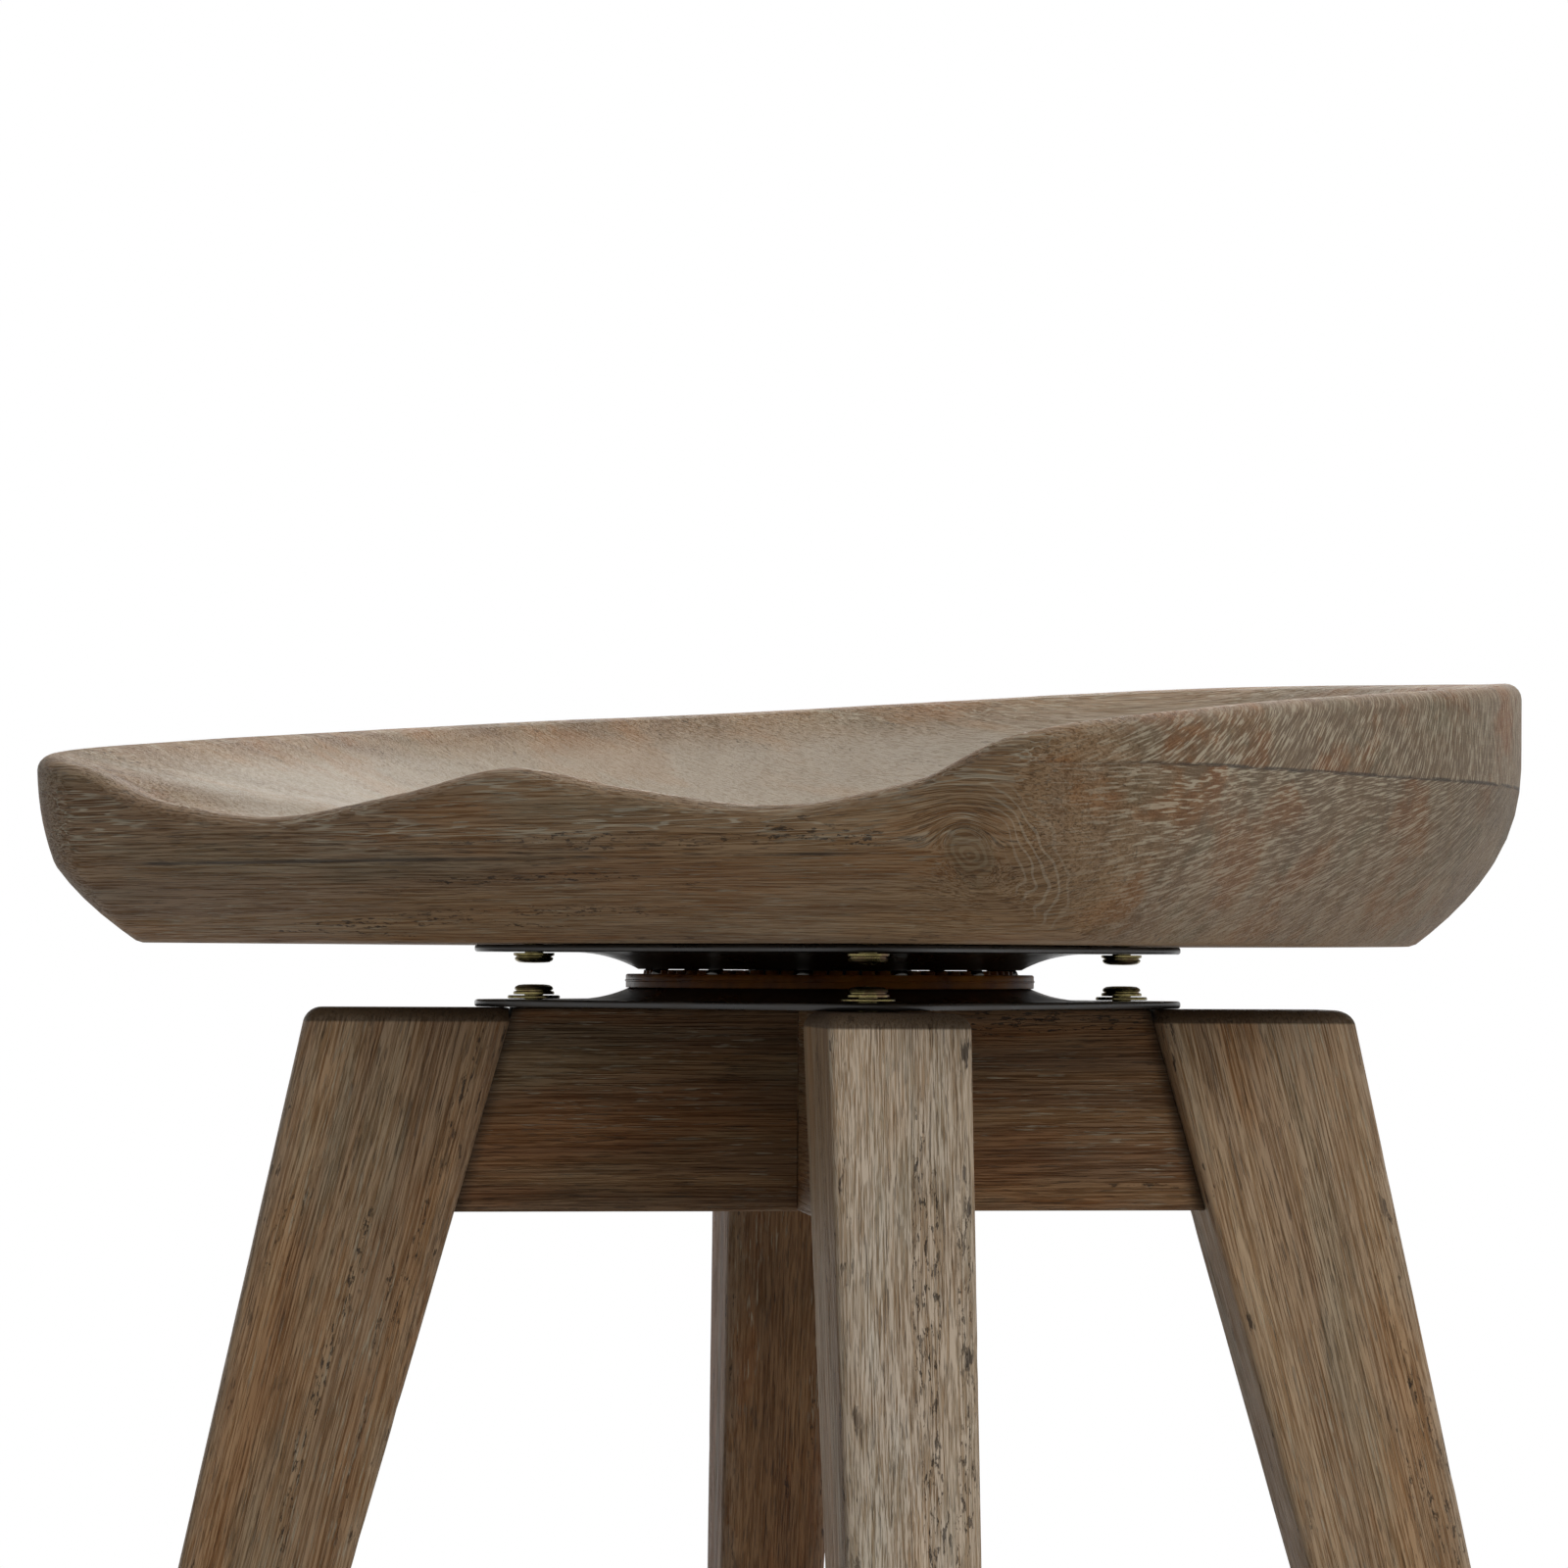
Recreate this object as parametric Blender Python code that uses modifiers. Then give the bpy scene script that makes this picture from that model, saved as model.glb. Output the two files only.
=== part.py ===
"""Swivel counter stool: a carved saddle seat on a ball-bearing swivel, over a four-legged wooden base.

Metres, +Z up, the floor at z = 0. The swivel's axis is the Z axis and the seat's front faces -Y.
The four legs stand on the diagonals, so that one looks between two legs from the front.
"""

import math

import bmesh
import bpy
from mathutils import Matrix, Vector

# Clearances
FIT_GAP = 0.0003
BORE_CLEARANCE = 0.0003
HOLE_END_CLEARANCE = 0.0010

# Base: heights
BASE_HEIGHT = 0.5600
GLIDE_HEIGHT = 0.0040

# Legs, measured at the top in the direction away from the axis and across it
LEG_TOP_INNER_REACH = 0.1017
LEG_TOP_DEPTH = 0.0640
LEG_TOP_WIDTH = 0.0416
LEG_FOOT_WIDTH = 0.0280
LEG_OUTER_RAKE = 0.2200
LEG_INNER_RAKE = 0.2830
LEG_TOP_ROUND = 0.0040
LEG_EDGE_ROUND = 0.0030
LEG_INNER_TOP_ROUND = 0.0010

# Cross rails
RAIL_WIDTH = 0.0224
RAIL_HEIGHT = 0.0639
RAIL_EDGE_ROUND = 0.0015

# Rail dowels
RAIL_DOWEL_RADIUS = 0.0040
RAIL_DOWEL_LENGTH = 0.0500
RAIL_DOWEL_DEPTHS = (0.0350, 0.0530)

# Footrest stretchers
STRETCHER_HEIGHT = 0.2000
STRETCHER_TALL = 0.0380
STRETCHER_THICK = 0.0200
STRETCHER_ROUND = 0.0030
STRETCHER_DOWEL_RADIUS = 0.0030
STRETCHER_DOWEL_LENGTH = 0.0300
STRETCHER_DOWEL_IN_LEG = 0.0140

# Foot glides
GLIDE_RADIUS = 0.0100
GLIDE_ROUND = 0.0010
GLIDE_PIN_RADIUS = 0.0020
GLIDE_PIN_LENGTH = 0.0150

# Swivel plates: a rounded square with a raised round dish
PLATE_SIDE = 0.1745
PLATE_CORNER_RADIUS = 0.0250
PLATE_THICKNESS = 0.0023
DISH_RISE = 0.0053
DISH_INNER_RADIUS = 0.0610
DISH_OUTER_RADIUS = 0.0840
DISH_FLARE = 2.4
SWIVEL_HEIGHT = 0.0196
SCREW_SQUARE = 0.13335

# Bearing
BALL_COUNT = 12
BALL_RADIUS = 0.0032
BALL_CIRCLE_RADIUS = 0.0572
CAGE_OUTER_RADIUS = 0.0652
CAGE_INNER_RADIUS = 0.0510
CAGE_HEIGHT = 0.0026
CAGE_SKIRT = 0.0017
CAGE_SKIRT_WALL = 0.0007
CAGE_ROUND = 0.0006

# Centre eyelet
EYELET_RADIUS = 0.0260
EYELET_WALL = 0.0014
EYELET_FLANGE = 0.0045

# Screws and washers
SCREW_RADIUS = 0.0030
SCREW_HEAD_RADIUS = 0.0065
SCREW_HEAD_HEIGHT = 0.0032
SCREW_HEAD_ROUND = 0.0010
BASE_SCREW_LENGTH = 0.0270
SEAT_SCREW_LENGTH = 0.0190
SCREW_POINT = 0.0030
WASHER_RADIUS = 0.0083
WASHER_THICKNESS = 0.0010
PLATE_HOLE_CLEARANCE = 0.0006

# Seat outline at its widest
SEAT_WIDTH = 0.4500
SEAT_FRONT = 0.1580
SEAT_BACK = 0.1950
SEAT_CORNER_RADIUS = 0.0440

# Seat edge: heights above the underside, going from the middle of the front round to the back
POMMEL_HEIGHT = 0.0512
THIGH_DIP_HEIGHT = 0.0385
THIGH_DIP_OFFSET = 0.1000
FRONT_CORNER_HEIGHT = 0.0555
CORNER_END_HEIGHT = 0.0642
SIDE_HEIGHT = 0.0740
BACK_HEIGHT = 0.0906
POMMEL_FLANK_PLACE = 0.42
SHOULDER_PLACE = 0.60
SHOULDER_RISE = 0.35
BACK_SWELL_PLACE = 0.35

# Seat sides: how far the belly draws in to the flat underside
BELLY_INSET = 0.0332
BELLY_TOP = 0.0590
BELLY_POWER = 2.4
CHAMFER_TOP = 0.0250
CHAMFER_INSET = 0.0040
CHAMFER_BOW = 0.38

# Seat dish
RIM_ROUND = 0.0050
RIM_WIDTH = 0.0150
RIM_INNER_DROP = 0.0016
RIM_MIDDLE_DROP = 0.0005
DISH_FLOOR = 0.0280
DISH_CENTRE_BACK = 0.0150
DISH_HALF_WIDTH = 0.2050
DISH_HALF_DEPTH = 0.1490
DISH_CORNER_POWER = 4.0
DISH_POWER_BACK = 2.9
DISH_POWER_FRONT = 2.2
DISH_POWER_POMMEL = 5.0

# Fineness
ROUND_STEPS = 36
SMALL_STEPS = 12
MIDDLE_STEPS = 16
HIDDEN_STEPS = 8
BEND_STEPS = 6
RACE_STEPS = 4
PLATE_CORNER_STEPS = 8
BALL_SEGMENTS = 10
BALL_RINGS = 6
EDGE_SEGMENTS = 2
STRETCHER_EDGE_SEGMENTS = 3
SEAT_FRONT_STEPS = 13
SEAT_CORNER_STEPS = 7
SEAT_SIDE_STEPS = 5
SEAT_BACK_STEPS = 20
CHAMFER_STEPS = 4
WALL_STEPS = 3
RIM_STEPS = 3
DISH_RINGS = (1.0, 0.95, 0.89, 0.82, 0.73, 0.62, 0.5, 0.36, 0.2)
SHARP_ANGLE = math.radians(28)

# Derived heights
SWIVEL_BOTTOM = BASE_HEIGHT + FIT_GAP
SWIVEL_TOP = SWIVEL_BOTTOM + SWIVEL_HEIGHT
SEAT_BOTTOM = SWIVEL_TOP + FIT_GAP
LEG_BOTTOM = GLIDE_HEIGHT + FIT_GAP
BALL_HEIGHT = SWIVEL_BOTTOM + SWIVEL_HEIGHT / 2
DISH_TOP = DISH_RISE + PLATE_THICKNESS
RACE_RADIUS = BALL_RADIUS + FIT_GAP
SCREW_OFFSET = SCREW_SQUARE / 2
QUARTER_TURNS = tuple(math.radians(45 + 90 * turn) for turn in range(-1, 3))
LEG_NAMES = ("front_right", "back_right", "back_left", "front_left")
SIDE_NAMES = ("front", "right", "back", "left")


# Scene and helpers
def clear_scene():
    for obj in list(bpy.data.objects):
        bpy.data.objects.remove(obj, do_unlink=True)


def make_collection(name, hidden=False):
    collection = bpy.data.collections.new(name)
    collection.hide_render = hidden
    bpy.context.scene.collection.children.link(collection)
    return collection


def make_material(name, colour, roughness, metallic=0.0):
    material = bpy.data.materials.new(name)
    material.use_nodes = True
    shader = material.node_tree.nodes["Principled BSDF"]
    shader.inputs["Base Color"].default_value = (*colour, 1.0)
    shader.inputs["Roughness"].default_value = roughness
    shader.inputs["Metallic"].default_value = metallic
    material.diffuse_color = (*colour, 1.0)
    return material


def shade(mesh):
    mesh.shade_smooth()
    mesh.set_sharp_from_angle(angle=SHARP_ANGLE)


def new_object(name, mesh, material=None, collection=None):
    obj = bpy.data.objects.new(name, mesh)
    if material:
        mesh.materials.clear()
        mesh.materials.append(material)
    (collection or PARTS).objects.link(obj)
    return obj


def object_from_bmesh(name, bm, material=None, collection=None):
    bmesh.ops.recalc_face_normals(bm, faces=bm.faces)
    mesh = bpy.data.meshes.new(name)
    bm.to_mesh(mesh)
    bm.free()
    return new_object(name, mesh, material, collection)


def as_cutter(obj):
    obj.hide_render = True
    obj.display_type = "WIRE"
    return obj


def freeze(obj):
    """Turns what the modifiers or the curve make into a plain mesh with welded caps."""
    bpy.context.view_layer.update()
    graph = bpy.context.evaluated_depsgraph_get()
    mesh = bpy.data.meshes.new_from_object(obj.evaluated_get(graph))
    bm = bmesh.new()
    bm.from_mesh(mesh)
    bmesh.ops.remove_doubles(bm, verts=bm.verts, dist=1e-6)
    bm.to_mesh(mesh)
    bm.free()
    shade(mesh)
    if obj.type == "MESH":
        obj.modifiers.clear()
        obj.data = mesh
        return obj
    name = obj.name
    place = obj.matrix_world.copy()
    home = obj.users_collection[0]
    bpy.data.objects.remove(obj)
    solid = new_object(name, mesh, collection=home)
    solid.matrix_world = place
    return solid


def boolean(obj, operation, other):
    modifier = obj.modifiers.new(operation.title(), "BOOLEAN")
    modifier.operation = operation
    modifier.solver = "EXACT"
    modifier.object = other


def rods(name, ends, radius, steps=SMALL_STEPS):
    """One cutter made of a rod between each pair of end points."""
    bm = bmesh.new()
    for start, end in ends:
        start = Vector(start)
        along = Vector(end) - start
        turn = Vector((0, 0, 1)).rotation_difference(along).to_matrix().to_4x4()
        place = Matrix.Translation(start + along / 2) @ turn
        bmesh.ops.create_cone(
            bm,
            cap_ends=True,
            segments=steps,
            radius1=radius,
            radius2=radius,
            depth=along.length,
            matrix=place,
        )
    return as_cutter(object_from_bmesh(name, bm, collection=CUTTERS))


def turned(name, profile, material, steps=ROUND_STEPS, ring=False):
    """A profile of (radius, height) points turned about Z; a ring's profile closes on itself."""
    bm = bmesh.new()
    points = [bm.verts.new((radius, 0, height)) for radius, height in profile]
    for first, second in zip(points, points[1:]):
        bm.edges.new((first, second))
    if ring:
        bm.edges.new((points[-1], points[0]))
    mesh = bpy.data.meshes.new(name)
    bm.to_mesh(mesh)
    bm.free()
    obj = new_object(name, mesh, material)
    screw = obj.modifiers.new("Screw", "SCREW")
    screw.axis = "Z"
    screw.steps = steps
    screw.render_steps = steps
    screw.use_merge_vertices = True
    screw.merge_threshold = 1e-6
    return obj


def block(size, centre=(0, 0, 0)):
    bm = bmesh.new()
    place = Matrix.Translation(centre) @ Matrix.Diagonal((*size, 1))
    bmesh.ops.create_cube(bm, size=1, matrix=place)
    return bm


def copies(original, names, turns):
    """The original takes the first name and place; each other copy shares its mesh."""
    made = [original]
    original.name = names[0]
    for name in names[1:]:
        made.append(new_object(name, original.data))
    for obj, turn in zip(made, turns):
        obj.rotation_euler = (0, 0, turn)
    return made


def around(radius, angle, height=0.0):
    return Vector((radius * math.cos(angle), radius * math.sin(angle), height))


# Legs: one leg is built along +X and copied to the four diagonals
def leg_inner_reach(height):
    return LEG_TOP_INNER_REACH + LEG_INNER_RAKE * (BASE_HEIGHT - height)


def leg_outer_reach(height):
    return LEG_TOP_INNER_REACH + LEG_TOP_DEPTH + LEG_OUTER_RAKE * (BASE_HEIGHT - height)


def leg_width(height):
    share = (height - LEG_BOTTOM) / (BASE_HEIGHT - LEG_BOTTOM)
    return LEG_FOOT_WIDTH + (LEG_TOP_WIDTH - LEG_FOOT_WIDTH) * share


def leg_centre_reach(height):
    return (leg_inner_reach(height) + leg_outer_reach(height)) / 2


def rail_dowel_ends(clearance=0.0):
    """The two ends of each dowel of one rail end, along +X."""
    for depth in RAIL_DOWEL_DEPTHS:
        height = BASE_HEIGHT - depth
        joint = leg_inner_reach(height)
        reach = RAIL_DOWEL_LENGTH / 2 + clearance
        yield (joint - reach, 0, height), (joint + reach, 0, height)


def stretcher_joint():
    """Where a stretcher's centre line meets the side of the leg that stands along +X."""
    half = leg_width(STRETCHER_HEIGHT) / 2
    return Vector((leg_centre_reach(STRETCHER_HEIGHT), half, STRETCHER_HEIGHT))


def make_leg_shape():
    bm = block((1, 1, 1))
    for vert in bm.verts:
        height = BASE_HEIGHT if vert.co.z > 0 else LEG_BOTTOM
        reach = leg_outer_reach(height) if vert.co.x > 0 else leg_inner_reach(height)
        side = math.copysign(leg_width(height) / 2, vert.co.y)
        vert.co = (reach, side, height)
    weight = bm.edges.layers.float.new("bevel_weight_edge")
    for edge in bm.edges:
        radius = LEG_EDGE_ROUND
        if all(vert.co.z > BASE_HEIGHT - FIT_GAP for vert in edge.verts):
            # The rail butts against the inner face, so its top edge stays almost square
            inner = all(vert.co.x < LEG_TOP_INNER_REACH + FIT_GAP for vert in edge.verts)
            radius = LEG_INNER_TOP_ROUND if inner else LEG_TOP_ROUND
        edge[weight] = radius / LEG_TOP_ROUND
    return bm


def make_legs():
    leg = object_from_bmesh("leg", make_leg_shape(), WOOD)
    bevel = leg.modifiers.new("Rounded edges", "BEVEL")
    bevel.limit_method = "WEIGHT"
    bevel.width = LEG_TOP_ROUND
    bevel.segments = EDGE_SEGMENTS
    boolean(
        leg,
        "DIFFERENCE",
        rods(
            "leg_rail_dowel_bores",
            rail_dowel_ends(HOLE_END_CLEARANCE),
            RAIL_DOWEL_RADIUS + BORE_CLEARANCE,
        ),
    )
    joint = stretcher_joint()
    inward = Vector((1, -1, 0)).normalized()
    depth = STRETCHER_DOWEL_IN_LEG + HOLE_END_CLEARANCE
    sides = []
    for mirror in (1, -1):
        flip = Vector((1, mirror, 1))
        sides.append(((joint - inward * depth) * flip, (joint + inward * depth) * flip))
    bores = rods("leg_stretcher_bores", sides, STRETCHER_DOWEL_RADIUS + BORE_CLEARANCE)
    boolean(leg, "DIFFERENCE", bores)
    foot = leg_centre_reach(LEG_BOTTOM)
    top = LEG_BOTTOM + GLIDE_PIN_LENGTH + HOLE_END_CLEARANCE
    pin = rods("leg_glide_bore", [((foot, 0, 0), (foot, 0, top))], GLIDE_PIN_RADIUS + BORE_CLEARANCE)
    boolean(leg, "DIFFERENCE", pin)
    freeze(leg)
    copies(leg, [f"leg_{name}" for name in LEG_NAMES], QUARTER_TURNS)


# Cross rails: two equal rails, one notched from above and one from below
def make_rail(name, turn, notch_from_top):
    bm = block((1, RAIL_WIDTH, 1))
    for vert in bm.verts:
        height = BASE_HEIGHT if vert.co.z > 0 else BASE_HEIGHT - RAIL_HEIGHT
        vert.co.z = height
        vert.co.x = math.copysign(leg_inner_reach(height) - FIT_GAP, vert.co.x)
    rail = object_from_bmesh(name, bm, WOOD)
    bevel = rail.modifiers.new("Rounded edges", "BEVEL")
    bevel.width = RAIL_EDGE_ROUND
    bevel.segments = EDGE_SEGMENTS
    notch_wide = RAIL_WIDTH + 2 * FIT_GAP
    notch_tall = RAIL_HEIGHT + FIT_GAP
    offset = RAIL_HEIGHT / 2 if notch_from_top else -RAIL_HEIGHT / 2
    middle = BASE_HEIGHT - RAIL_HEIGHT / 2 + offset
    notch = object_from_bmesh(
        f"{name}_notch",
        block((notch_wide, 2 * RAIL_WIDTH, notch_tall), (0, 0, middle)),
        collection=CUTTERS,
    )
    boolean(rail, "DIFFERENCE", as_cutter(notch))
    ends = []
    for start, end in rail_dowel_ends(HOLE_END_CLEARANCE):
        for mirror in (1, -1):
            flip = Vector((mirror, 1, 1))
            ends.append((Vector(start) * flip, Vector(end) * flip))
    bores = rods(f"{name}_dowel_bores", ends, RAIL_DOWEL_RADIUS + BORE_CLEARANCE)
    boolean(rail, "DIFFERENCE", bores)
    reach = math.hypot(SCREW_OFFSET, SCREW_OFFSET)
    depth = BASE_SCREW_LENGTH + HOLE_END_CLEARANCE
    holes = [((x, 0, BASE_HEIGHT - depth), (x, 0, BASE_HEIGHT + depth)) for x in (-reach, reach)]
    pilots = rods(f"{name}_screw_bores", holes, SCREW_RADIUS + BORE_CLEARANCE)
    boolean(rail, "DIFFERENCE", pilots)
    freeze(rail)
    rail.rotation_euler = (0, 0, turn)


def make_rail_dowels():
    for turn, leg_name in zip(QUARTER_TURNS, LEG_NAMES):
        spin = Matrix.Rotation(turn, 3, "Z")
        for number, (start, end) in enumerate(rail_dowel_ends(), 1):
            make_dowel(
                f"rail_dowel_{leg_name}_{number}",
                spin @ Vector(start),
                spin @ Vector(end),
                RAIL_DOWEL_RADIUS,
            )


def make_dowel(name, start, end, radius):
    """A round dowel with chamfered ends, lying from start to end."""
    length = (end - start).length
    nose = radius / 4
    dowel = turned(
        name,
        [
            (0, length / 2),
            (radius - nose, length / 2),
            (radius, length / 2 - nose),
            (radius, nose - length / 2),
            (radius - nose, -length / 2),
            (0, -length / 2),
        ],
        DOWEL_WOOD,
        steps=HIDDEN_STEPS,
    )
    dowel.location = (start + end) / 2
    dowel.rotation_mode = "QUATERNION"
    dowel.rotation_quaternion = Vector((0, 0, 1)).rotation_difference(end - start)
    return dowel


# Footrest stretchers: the front one is built along X and copied round
def stretcher_line():
    """Offset of the front stretcher's centre line from the axis, and its half length."""
    joint = stretcher_joint()
    at_leg = Matrix.Rotation(QUARTER_TURNS[0], 3, "Z") @ Vector((joint.x, -joint.y, joint.z))
    other = Matrix.Rotation(QUARTER_TURNS[0], 3, "Z") @ joint
    # The side of the leg that faces the front stretcher is the one further forward
    point = at_leg if at_leg.y < other.y else other
    return point.y, point.x


def make_stretchers():
    offset, half_length = stretcher_line()
    over_length = 2 * half_length + 4 * STRETCHER_THICK
    bm = block((over_length, STRETCHER_THICK, STRETCHER_TALL), (0, offset, STRETCHER_HEIGHT))
    long_edges = [edge for edge in bm.edges if abs(edge.verts[0].co.x - edge.verts[1].co.x) > 0]
    bmesh.ops.bevel(
        bm,
        geom=long_edges,
        offset=STRETCHER_ROUND,
        segments=STRETCHER_EDGE_SEGMENTS,
        profile=0.5,
        affect="EDGES",
        clamp_overlap=True,
    )
    widening = (LEG_TOP_WIDTH - LEG_FOOT_WIDTH) / (BASE_HEIGHT - LEG_BOTTOM) / 2
    for mirror in (1, -1):
        flip = Vector((mirror, 1, 1))
        plane_point = Vector((half_length, offset, STRETCHER_HEIGHT))
        # The leg's side faces the stretcher at 45 degrees and leans with the leg's taper
        into_leg = Vector((1, 1, 0)).normalized() + Vector((0, 0, widening))
        into_leg.normalize()
        plane_point -= into_leg * FIT_GAP
        bmesh.ops.bisect_plane(
            bm,
            geom=bm.verts[:] + bm.edges[:] + bm.faces[:],
            plane_co=plane_point * flip,
            plane_no=into_leg * flip,
            clear_outer=True,
        )
        rim = [edge for edge in bm.edges if edge.is_boundary]
        bmesh.ops.edgeloop_fill(bm, edges=rim)
    stretcher = object_from_bmesh("stretcher", bm, WOOD)
    in_stretcher = STRETCHER_DOWEL_LENGTH - STRETCHER_DOWEL_IN_LEG + HOLE_END_CLEARANCE
    bores = []
    for mirror in (1, -1):
        inner = (mirror * (half_length - in_stretcher), offset, STRETCHER_HEIGHT)
        outer = (mirror * (half_length + STRETCHER_THICK), offset, STRETCHER_HEIGHT)
        bores.append((inner, outer))
    cutter = rods("stretcher_bores", bores, STRETCHER_DOWEL_RADIUS + BORE_CLEARANCE)
    boolean(stretcher, "DIFFERENCE", cutter)
    freeze(stretcher)
    turns = [math.radians(90 * side) for side in range(4)]
    copies(stretcher, [f"stretcher_{name}" for name in SIDE_NAMES], turns)
    for side_name, turn in zip(SIDE_NAMES, turns):
        spin = Matrix.Rotation(turn, 3, "Z")
        for number, mirror in enumerate((1, -1), 1):
            reach = half_length + STRETCHER_DOWEL_IN_LEG
            start = Vector((mirror * reach, offset, STRETCHER_HEIGHT))
            end = Vector((mirror * (reach - STRETCHER_DOWEL_LENGTH), offset, STRETCHER_HEIGHT))
            name = f"stretcher_dowel_{side_name}_{number}"
            make_dowel(name, spin @ start, spin @ end, STRETCHER_DOWEL_RADIUS)


def make_glides():
    flat = GLIDE_RADIUS - GLIDE_ROUND
    glide = turned(
        "glide",
        [
            (0, LEG_BOTTOM + GLIDE_PIN_LENGTH),
            (GLIDE_PIN_RADIUS, LEG_BOTTOM + GLIDE_PIN_LENGTH - GLIDE_PIN_RADIUS),
            (GLIDE_PIN_RADIUS, GLIDE_HEIGHT),
            (flat, GLIDE_HEIGHT),
            (GLIDE_RADIUS, GLIDE_HEIGHT - GLIDE_ROUND),
            (GLIDE_RADIUS, GLIDE_ROUND),
            (flat, 0),
            (0, 0),
        ],
        NYLON,
        steps=SMALL_STEPS,
    )
    freeze(glide)
    made = copies(glide, [f"glide_{name}" for name in LEG_NAMES], QUARTER_TURNS)
    for obj, turn in zip(made, QUARTER_TURNS):
        obj.location = around(leg_centre_reach(LEG_BOTTOM), turn)


# Swivel plates
def rounded_square(side, radius, steps):
    """The points of a square with round corners, counter-clockwise."""
    centre = side / 2 - radius
    for corner in range(4):
        middle = around(math.hypot(centre, centre), math.radians(45 + 90 * corner))
        for step in range(steps + 1):
            yield middle + around(radius, math.radians(90 * (corner + step / steps)))


def make_plate_outline():
    curve = bpy.data.curves.new("plate_outline", "CURVE")
    curve.dimensions = "2D"
    curve.fill_mode = "BOTH"
    curve.extrude = SWIVEL_HEIGHT
    points = list(rounded_square(PLATE_SIDE, PLATE_CORNER_RADIUS, PLATE_CORNER_STEPS))
    spline = curve.splines.new("POLY")
    spline.points.add(len(points) - 1)
    for spot, point in zip(spline.points, points):
        spot.co = (*point, 1)
    spline.use_cyclic_u = True
    outline = bpy.data.objects.new("plate_outline", curve)
    CUTTERS.objects.link(outline)
    return as_cutter(freeze(outline))


def plate_profile():
    """The upper face of the lower plate, from the middle outwards, with its round ball race."""
    yield EYELET_RADIUS + FIT_GAP, DISH_TOP
    middle = SWIVEL_HEIGHT / 2
    race_edge = math.acos((middle - DISH_TOP) / RACE_RADIUS)
    for step in range(RACE_STEPS + 1):
        angle = race_edge * (2 * step / RACE_STEPS - 1)
        radius = BALL_CIRCLE_RADIUS + RACE_RADIUS * math.sin(angle)
        yield radius, middle - RACE_RADIUS * math.cos(angle)
    for step in range(BEND_STEPS + 1):
        share = (step / BEND_STEPS) ** 2
        radius = DISH_INNER_RADIUS + (DISH_OUTER_RADIUS - DISH_INNER_RADIUS) * share
        yield radius, PLATE_THICKNESS + DISH_RISE * (1 - share) ** DISH_FLARE
    yield PLATE_SIDE, PLATE_THICKNESS


def screw_places():
    """The four screw places of the swivel, counter-clockwise from the front right."""
    radius = math.hypot(SCREW_OFFSET, SCREW_OFFSET)
    return [around(radius, turn) for turn in QUARTER_TURNS]


def make_plates():
    face = list(plate_profile())
    underside = [(radius, height - PLATE_THICKNESS) for radius, height in reversed(face)]
    plate = turned("swivel_lower_plate", face + underside, BLACK_STEEL, ring=True)
    boolean(plate, "INTERSECT", make_plate_outline())
    reach = Vector((0, 0, 2 * PLATE_THICKNESS))
    holes = [(place - reach, place + reach) for place in screw_places()]
    bores = rods("plate_holes", holes, SCREW_RADIUS + PLATE_HOLE_CLEARANCE)
    boolean(plate, "DIFFERENCE", bores)
    freeze(plate)
    upper = new_object("swivel_upper_plate", plate.data)
    plate.location = (0, 0, SWIVEL_BOTTOM)
    upper.location = (0, 0, SWIVEL_TOP)
    upper.rotation_euler = (math.pi, 0, 0)
    return upper


# Ball cage and balls
def ball_places():
    for number in range(BALL_COUNT):
        yield around(BALL_CIRCLE_RADIUS, math.tau * number / BALL_COUNT, BALL_HEIGHT)


def make_cage():
    """A flat ring between the dishes, whose outer skirt hangs down over the slope of the lower one."""
    low = SWIVEL_BOTTOM + DISH_TOP + FIT_GAP
    high = low + CAGE_HEIGHT
    skirt = low - CAGE_SKIRT
    cage = turned(
        "ball_cage",
        [
            (CAGE_INNER_RADIUS, high),
            (CAGE_OUTER_RADIUS - CAGE_ROUND, high),
            (CAGE_OUTER_RADIUS, high - CAGE_ROUND),
            (CAGE_OUTER_RADIUS, skirt),
            (CAGE_OUTER_RADIUS - CAGE_SKIRT_WALL, skirt),
            (DISH_INNER_RADIUS, low),
            (CAGE_INNER_RADIUS, low),
        ],
        AMBER_NYLON,
        ring=True,
    )
    reach = Vector((0, 0, CAGE_HEIGHT * 2))
    ends = [(place - reach, place + reach) for place in ball_places()]
    pockets = rods("cage_pockets", ends, BALL_RADIUS + 2 * BORE_CLEARANCE, HIDDEN_STEPS)
    boolean(cage, "DIFFERENCE", pockets)
    freeze(cage)
    made = [cage]
    for number, place in enumerate(ball_places(), 1):
        bm = bmesh.new()
        bmesh.ops.create_uvsphere(
            bm,
            u_segments=BALL_SEGMENTS,
            v_segments=BALL_RINGS,
            radius=BALL_RADIUS,
        )
        ball = object_from_bmesh(f"ball_{number:02d}", bm, BALL_STEEL)
        shade(ball.data)
        ball.location = place
        made.append(ball)
    return made


def make_eyelet():
    """A tube rivet: its lower flange is caught under the lower dish, its upper one over the upper dish."""
    low = SWIVEL_BOTTOM + DISH_RISE - FIT_GAP
    high = SWIVEL_TOP - DISH_RISE + FIT_GAP
    bore = EYELET_RADIUS - EYELET_WALL
    flange = EYELET_RADIUS + EYELET_FLANGE
    turned(
        "centre_eyelet",
        [
            (bore, high + EYELET_WALL),
            (flange, high + EYELET_WALL),
            (flange, high),
            (EYELET_RADIUS, high),
            (EYELET_RADIUS, low),
            (flange, low),
            (flange, low - EYELET_WALL),
            (bore, low - EYELET_WALL),
        ],
        BLACK_STEEL,
        MIDDLE_STEPS,
        ring=True,
    )


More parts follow.
